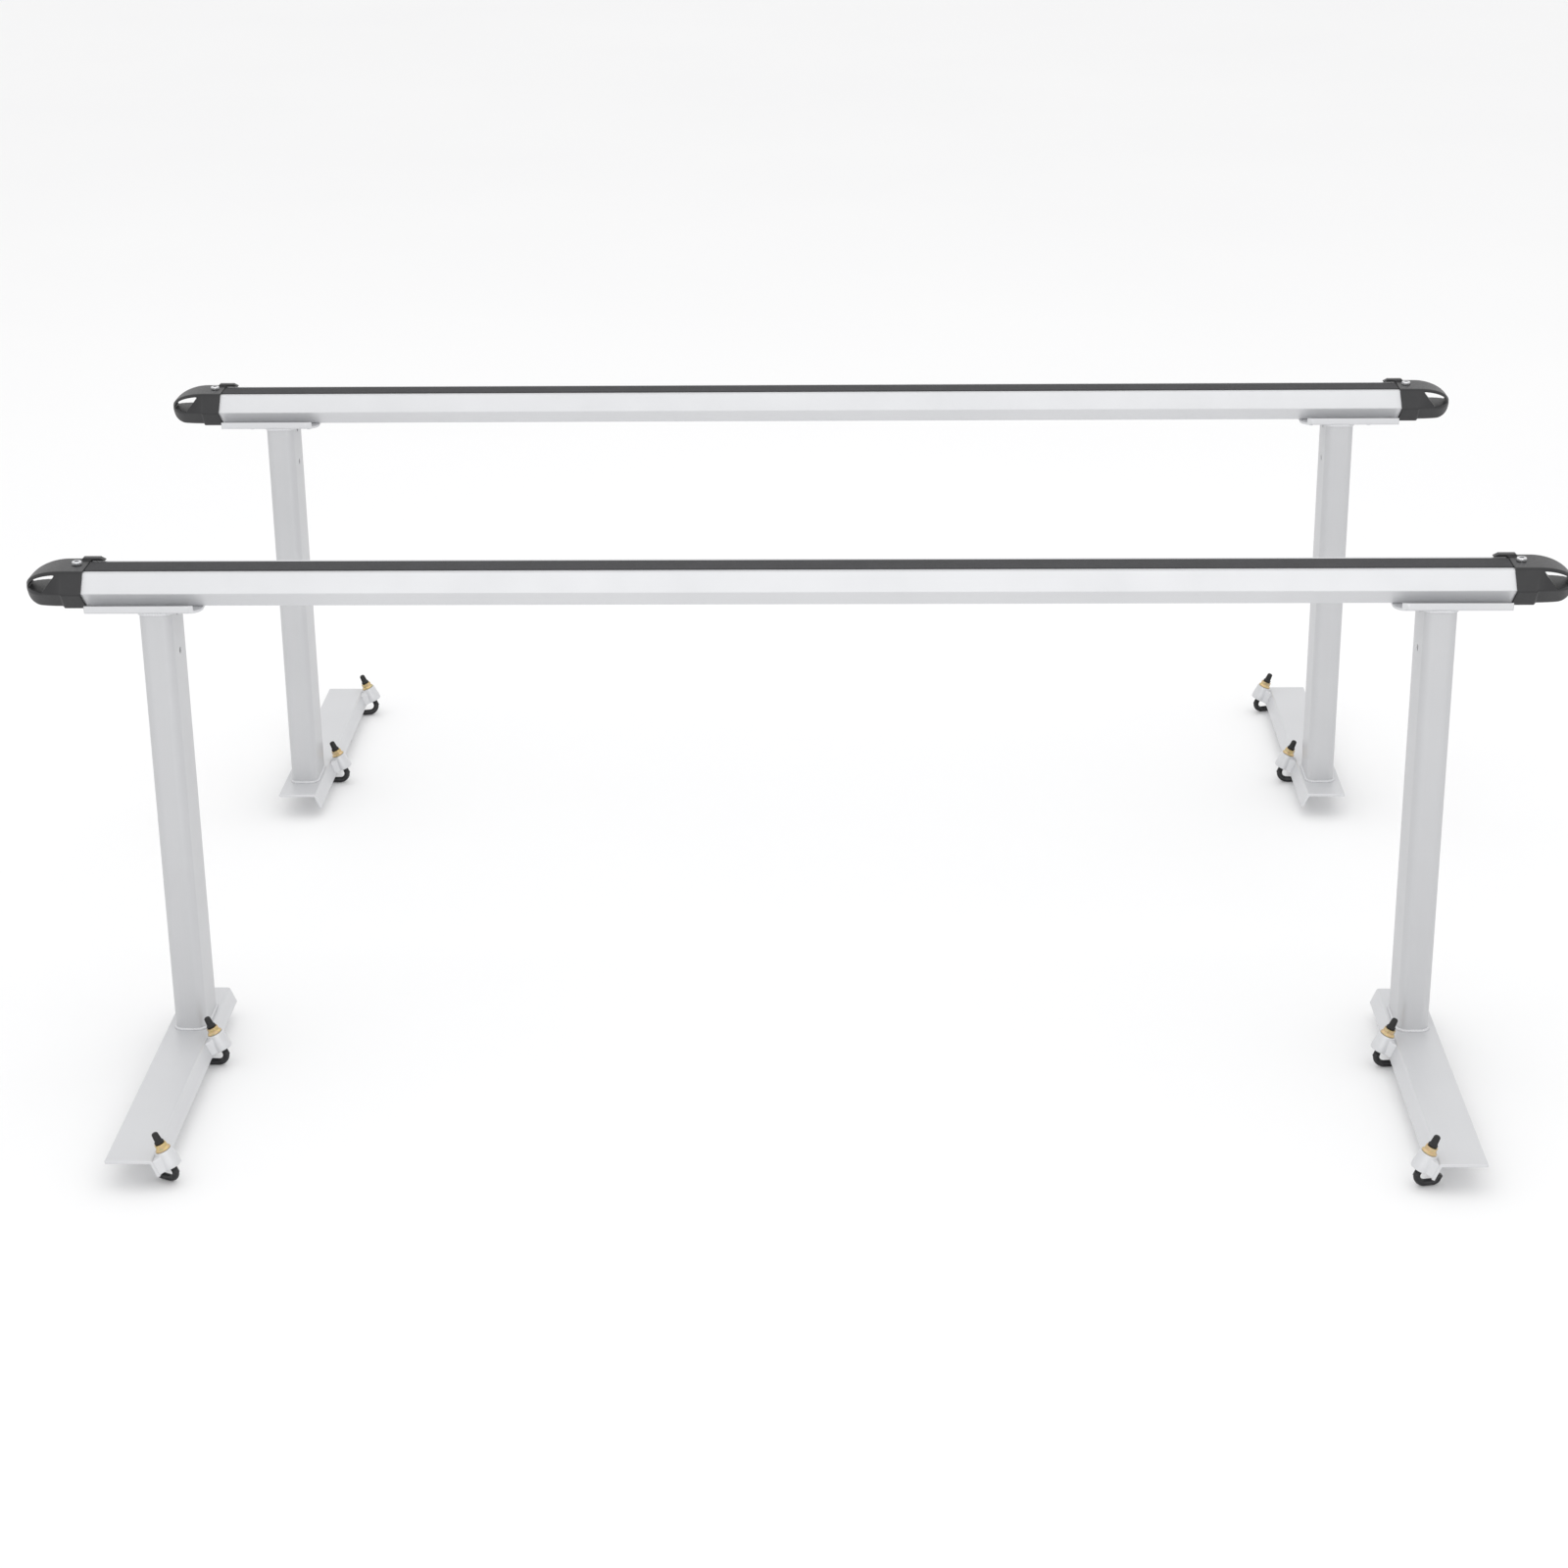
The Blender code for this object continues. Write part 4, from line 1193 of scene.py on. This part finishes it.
# %% [markdown]
# ## Guide bosses
# Two bosses on each flange guide the hook bolts. They are stout, slightly tapered, and flow into the
# flange with a flare on both sides. Real ones are cast, so this is a taper and a web joined together and
# then softened by a remesh, which leaves a cast fillet wherever the two meet.

# %% Guide bosses
BOSS_RADIUS = 0.0117
BOSS_TOP_RADIUS = 0.0102
BOSS_FLARE = 0.0155
BOSS_BORE = 0.0046
BOSS_SINK = 0.0008  # how far the casting runs into the flange, as its weld does
BOSS_STRAIGHT = 0.25  # share of the height below the taper
BOSS_NECK = BOSS_TOP_RADIUS - 0.0012
WEB_START = 0.0005
WEB_DROP = 0.16  # share of the height between the web's top and the boss's
TRIM = 0.05


def fitted(mesh, low, high):
    """Stretches a mesh a little along X and Z, to make up for what the smoothing took off."""
    points = [vert.co for vert in mesh.vertices]
    for axis in (0, 2):
        least = min(point[axis] for point in points)
        most = max(point[axis] for point in points)
        stretch = (high[axis] - low[axis]) / (most - least)
        for point in points:
            point[axis] = low[axis] + (point[axis] - least) * stretch
    return mesh


def guide_boss(low, high):
    """Z runs along the bolt. The flange's face is at the high end of X."""
    height = high.z - low.z
    taper = [(0, low.z), (BOSS_RADIUS, low.z), (BOSS_RADIUS, low.z + height * BOSS_STRAIGHT)]
    taper += [(BOSS_TOP_RADIUS, high.z), (0, high.z)]
    web = [(WEB_START, -BOSS_NECK), (high.x, -BOSS_FLARE), (high.x, BOSS_FLARE), (WEB_START, BOSS_NECK)]
    solid = joined(turned(taper, 48), prism([web], low.z, high.z - height * WEB_DROP, along_z))
    trim = [(high.x, -TRIM), (high.x + TRIM, -TRIM), (high.x + TRIM, TRIM), (high.x, TRIM)]
    solid = cut(solid, prism([trim], low.z - CLEAR, high.z + CLEAR, along_z))
    soft = moulded(solid, cell=0.0007, rounds=4, share=0.5)
    return smooth(bored(fitted(soft, low, high + Vector((BOSS_SINK, 0, 0))), BOSS_BORE, low, high), 50)


def on_each_clamp(shape, piece, node, coat, body):
    """Makes a shape once, from the first clamp's CAD node, and puts a copy on every clamp."""
    made = None
    for tag, place in clamps.items():
        made = made or shape(*local_box(f"{node}_{tag}", place))
        rides_on = f"upright_{tag.rsplit('_', 1)[0]}" if body == "upright" else f"{body}_{tag}"
        add_piece(f"{piece}_{tag}", made, place, coat, rides_on, f"{node}_{tag}")
    print("each", piece, "has", len(made.polygons), "faces")


on_each_clamp(guide_boss, "guide_boss", "lug", cast_silver, "upright")

# %% [markdown]
# ## Flange nuts
# A flange nut is a hexagon on a wide round skirt that does the work of a washer. The skirt slopes up to
# the hexagon, and the hexagon's top corners are chamfered. Both are turned or cut shapes, joined and then
# drilled through.

# %% Flange nuts
NUT_FLANGE = 0.009
NUT_BORE = 0.0043
RIM_BREAK = 0.0003
SKIRT_INSET = 0.0004
SKIRT_TOP_RADIUS = 0.0068
RIM_LOW = 0.0004  # this and the next four are heights above the skirt's underside
HEX_BASE = 0.0008
RIM_HIGH = 0.0012
SKIRT_EDGE = 0.0016
SKIRT_TOP = 0.0034


def flange_nut(low, high):
    base = low.z
    skirt = [(0, base), (NUT_FLANGE - RIM_BREAK, base), (NUT_FLANGE, base + RIM_LOW)]
    skirt += [(NUT_FLANGE, base + RIM_HIGH), (NUT_FLANGE - SKIRT_INSET, base + SKIRT_EDGE)]
    skirt += [(SKIRT_TOP_RADIUS, base + SKIRT_TOP), (0, base + SKIRT_TOP)]
    solid = joined(turned(skirt, 64), chamfered_hexagon(NUT_HEX, base + HEX_BASE, high.z))
    return smooth(bored(solid, NUT_BORE, low, high), 25)


on_each_clamp(flange_nut, "zinc_nut", "flange_nut", yellow_zinc, "nut")

# %% [markdown]
# ## Thread covers
# A soft cap is pushed over each bolt's free end, so that nobody is scratched by the thread. It has a
# rolled skirt, tapers upward and ends in a dome. That is a turned profile whose straight stretches are
# joined by fillets.

# %% Thread covers
SKIRT_BREAK = 0.0004
SKIRT_HEIGHT = 0.0024
SHOULDER_INSET = 0.0012
SHOULDER_HEIGHT = 0.0038
TIP_RADIUS = 0.0037
COVER_FILLETS = (0.0008, 0.0010, 0.0026)  # skirt, shoulder and tip
COVER_BORE = 0.0043
BORE_SIDE = 0.0028
BORE_TOP = 0.0030


def thread_cover(low, high):
    """Z runs up from the skirt's underside, which is open for the bolt."""
    base, top = low.z, high.z
    skirt = high.x
    corners = [(skirt, base), (skirt, base + SKIRT_HEIGHT), (skirt - SHOULDER_INSET, base + SHOULDER_HEIGHT)]
    corners += [(TIP_RADIUS, top), (0, top)]
    outside = [(skirt - SKIRT_BREAK, base), (skirt, base + SKIRT_BREAK)]
    for index, radius in enumerate(COVER_FILLETS, 1):
        outside += fillet(corners[index - 1], corners[index], corners[index + 1], radius, 6)
    inside = [(0, base + BORE_TOP), (COVER_BORE, base + BORE_SIDE), (COVER_BORE, base)]
    return smooth(turned([*inside, *outside, (0, top)], 40), 50)


on_each_clamp(thread_cover, "rubber_tip", "thread_cover", cover_rubber, "cover")

# %% [markdown]
# ## Hook bolts
# Each hook is a rod, bent once under the rail and turned up at its toe. A rod follows a path, so rings are
# laid across it and skinned. Its thread is a helix, which Geometry Nodes offer as a spiral curve: a small
# ridge swept along it is the thread.

# %% Thread tree
def thread_tree():
    graph, given = geometry_tree("thread", ["Turns", "Radius", "Height", "Ridge"])
    helix = graph.node("GeometryNodeCurveSpiral", inputs={
        "Resolution": 24, "Rotations": given["Turns"], "Start Radius": given["Radius"],
        "End Radius": given["Radius"], "Height": given["Height"]})
    section = {"Resolution": 4, "Radius": given["Ridge"]}
    ridge = graph.node("GeometryNodeCurvePrimitiveCircle", inputs=section)
    sweep = {"Curve": helix, "Profile Curve": ridge, "Fill Caps": True}
    thread = graph.node("GeometryNodeCurveToMesh", inputs=sweep)
    return end_tree(graph, thread, given["Finish"])


thread = thread_tree()
ROD = 0.004
HOOK_REACH = 0.0282
HOOK_TOE = 0.010
HOOK_BEND = 0.010
TOE_BEND = 0.006
THREAD_PITCH = 0.00125
THREAD_FOOT = -0.0290
THREAD_RIDGE = 0.00042
THREAD_DEPTH = 0.0003
THREAD_RUN_OUT = 0.0008
THREAD_END = 0.001
TIP_CHAMFER = 0.0009
ROD_SIDES = 28


def hook_path(level, lean, top):
    """Points (X, Z) from the top of the shank to the toe. Level is the height of the leg's corner."""
    far = (HOOK_REACH * math.cos(lean), level + HOOK_REACH * math.sin(lean))
    toe = (far[0], far[1] + HOOK_TOE)
    path = [(0, top), (0, THREAD_FOOT), (0, THREAD_FOOT - THREAD_RUN_OUT)]
    path += fillet((0, top), (0, level), far, HOOK_BEND, 16)
    path += fillet((0, level), far, toe, TOE_BEND, 12)
    return [*path, (toe[0], toe[1] - TIP_CHAMFER), toe]


def hook_rod(path):
    """A rod along the path. It tapers up to its thinner top end, and its toe is chamfered."""
    bm = bmesh.new()
    points = [Vector((x, 0, z)) for x, z in path]
    radii = [ROD - TIP_CHAMFER, ROD - THREAD_DEPTH] + [ROD] * (len(points) - 3) + [ROD - TIP_CHAMFER]
    rings = []
    for index, point in enumerate(points):
        tangent = (points[min(index + 1, len(points) - 1)] - points[max(index - 1, 0)]).normalized()
        across = Vector((-tangent.z, 0, tangent.x))
        offsets = [across * a + Vector((0, b, 0)) for a, b in circle(radii[index], ROD_SIDES)]
        rings.append([bm.verts.new(point + offset) for offset in offsets])
    skin(bm, rings)
    return smooth(mesh_of(bm), 45)


# %% Hook bolts
def hook_bolt(tag):
    """The hook without its swivel: Z along the bolt, X outward."""
    place = clamps[tag]
    lean = math.acos(joints[f"nut_turn_{tag}"]["axis"][2])
    top = local_box(f"j_bolt_{tag}", place)[1].z
    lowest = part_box(f"j_bolt_{tag}")[0].z
    level = (lowest + ROD - place.translation.z) / math.cos(lean)
    rod = hook_rod(hook_path(level, lean, top))
    height = top - THREAD_END - THREAD_FOOT
    sizes = {"Turns": height / THREAD_PITCH, "Radius": ROD - THREAD_DEPTH}
    sizes.update(Height=height, Ridge=THREAD_RIDGE)
    helix = run_tree(thread, bpy.data.meshes.new("empty"), hook_black, **sizes)
    helix.transform(Matrix.Translation((0, 0, THREAD_FOOT)))
    return joined_parts(rod, helix)


def hook_turn(tag):
    """How far a hook is swivelled at rest: the middle of its range is square to the rail."""
    low, high = joints[f"hook_swivel_{tag}"]["range_deg"]
    return turned_about("Z", math.radians(-(low + high) / 2))


hook = hook_bolt("front_right_post")
for tag, place in clamps.items():
    add_piece(f"hook_rod_{tag}", hook, place @ hook_turn(tag), hook_black, f"hook_{tag}",
              f"j_bolt_{tag}")
print("a hook has", len(hook.polygons), "faces")

# %% [markdown]
# ## Studio
# A pale floor and soft, nearly white light show pale metal best. The world lights everything evenly, a
# large lamp overhead brightens what faces up, and one in front gives the bar's upper face its shine. The
# lamps are as large as the rack, so that the shadows under it stay faint.

# %% Floor, lights and world
FLOOR_SIZE = 40.0
FLOOR_PALE = (0.90, 0.90, 0.905)
FLOOR_LIGHT = (0.93, 0.93, 0.93)
WORLD_LIGHT = 1.0


def studio_floor():
    bm = bmesh.new()
    bmesh.ops.create_grid(bm, x_segments=1, y_segments=1, size=FLOOR_SIZE / 2)
    made = bpy.data.objects.new("studio_floor", mesh_of(bm))
    bpy.context.scene.collection.objects.link(made)

    def colour(graph):
        return blend(graph, noise(graph, (0.8,) * 3), FLOOR_PALE, FLOOR_LIGHT)

    def roughness(graph):
        return 0.8 + noise(graph, (3.0,) * 3) * 0.1

    def relief(graph):
        return noise(graph, (200.0,) * 3)

    made.data.materials.append(finish("pale_floor", colour, roughness, relief, 0.00005, {}))


def softbox(name, spot, target, size, power):
    lamp = bpy.data.lights.new(name, "AREA")
    lamp.shape = "RECTANGLE"
    lamp.size, lamp.size_y = size
    lamp.energy = power
    made = bpy.data.objects.new(name, lamp)
    bpy.context.scene.collection.objects.link(made)
    made.location = spot
    direction = Vector(target) - Vector(spot)
    made.rotation_euler = direction.to_track_quat("-Z", "Y").to_euler()
    made.visible_camera = False


studio_floor()
softbox("overhead_lamp", (0, 0.3, 3.6), (0, 0, 0.5), size=(4.5, 4.5), power=22)
softbox("front_lamp", (0.3, -6.5, 1.5), (0, 0, 0.6), size=(6.0, 1.6), power=60)
world = bpy.data.worlds.new("studio")
world.use_nodes = True
backdrop = world.node_tree.nodes["Background"]
backdrop.inputs["Color"].default_value = (1, 1, 1, 1)
backdrop.inputs["Strength"].default_value = WORLD_LIGHT
bpy.context.scene.world = world
bpy.context.scene.view_settings.view_transform = "Standard"
print("studio lit")
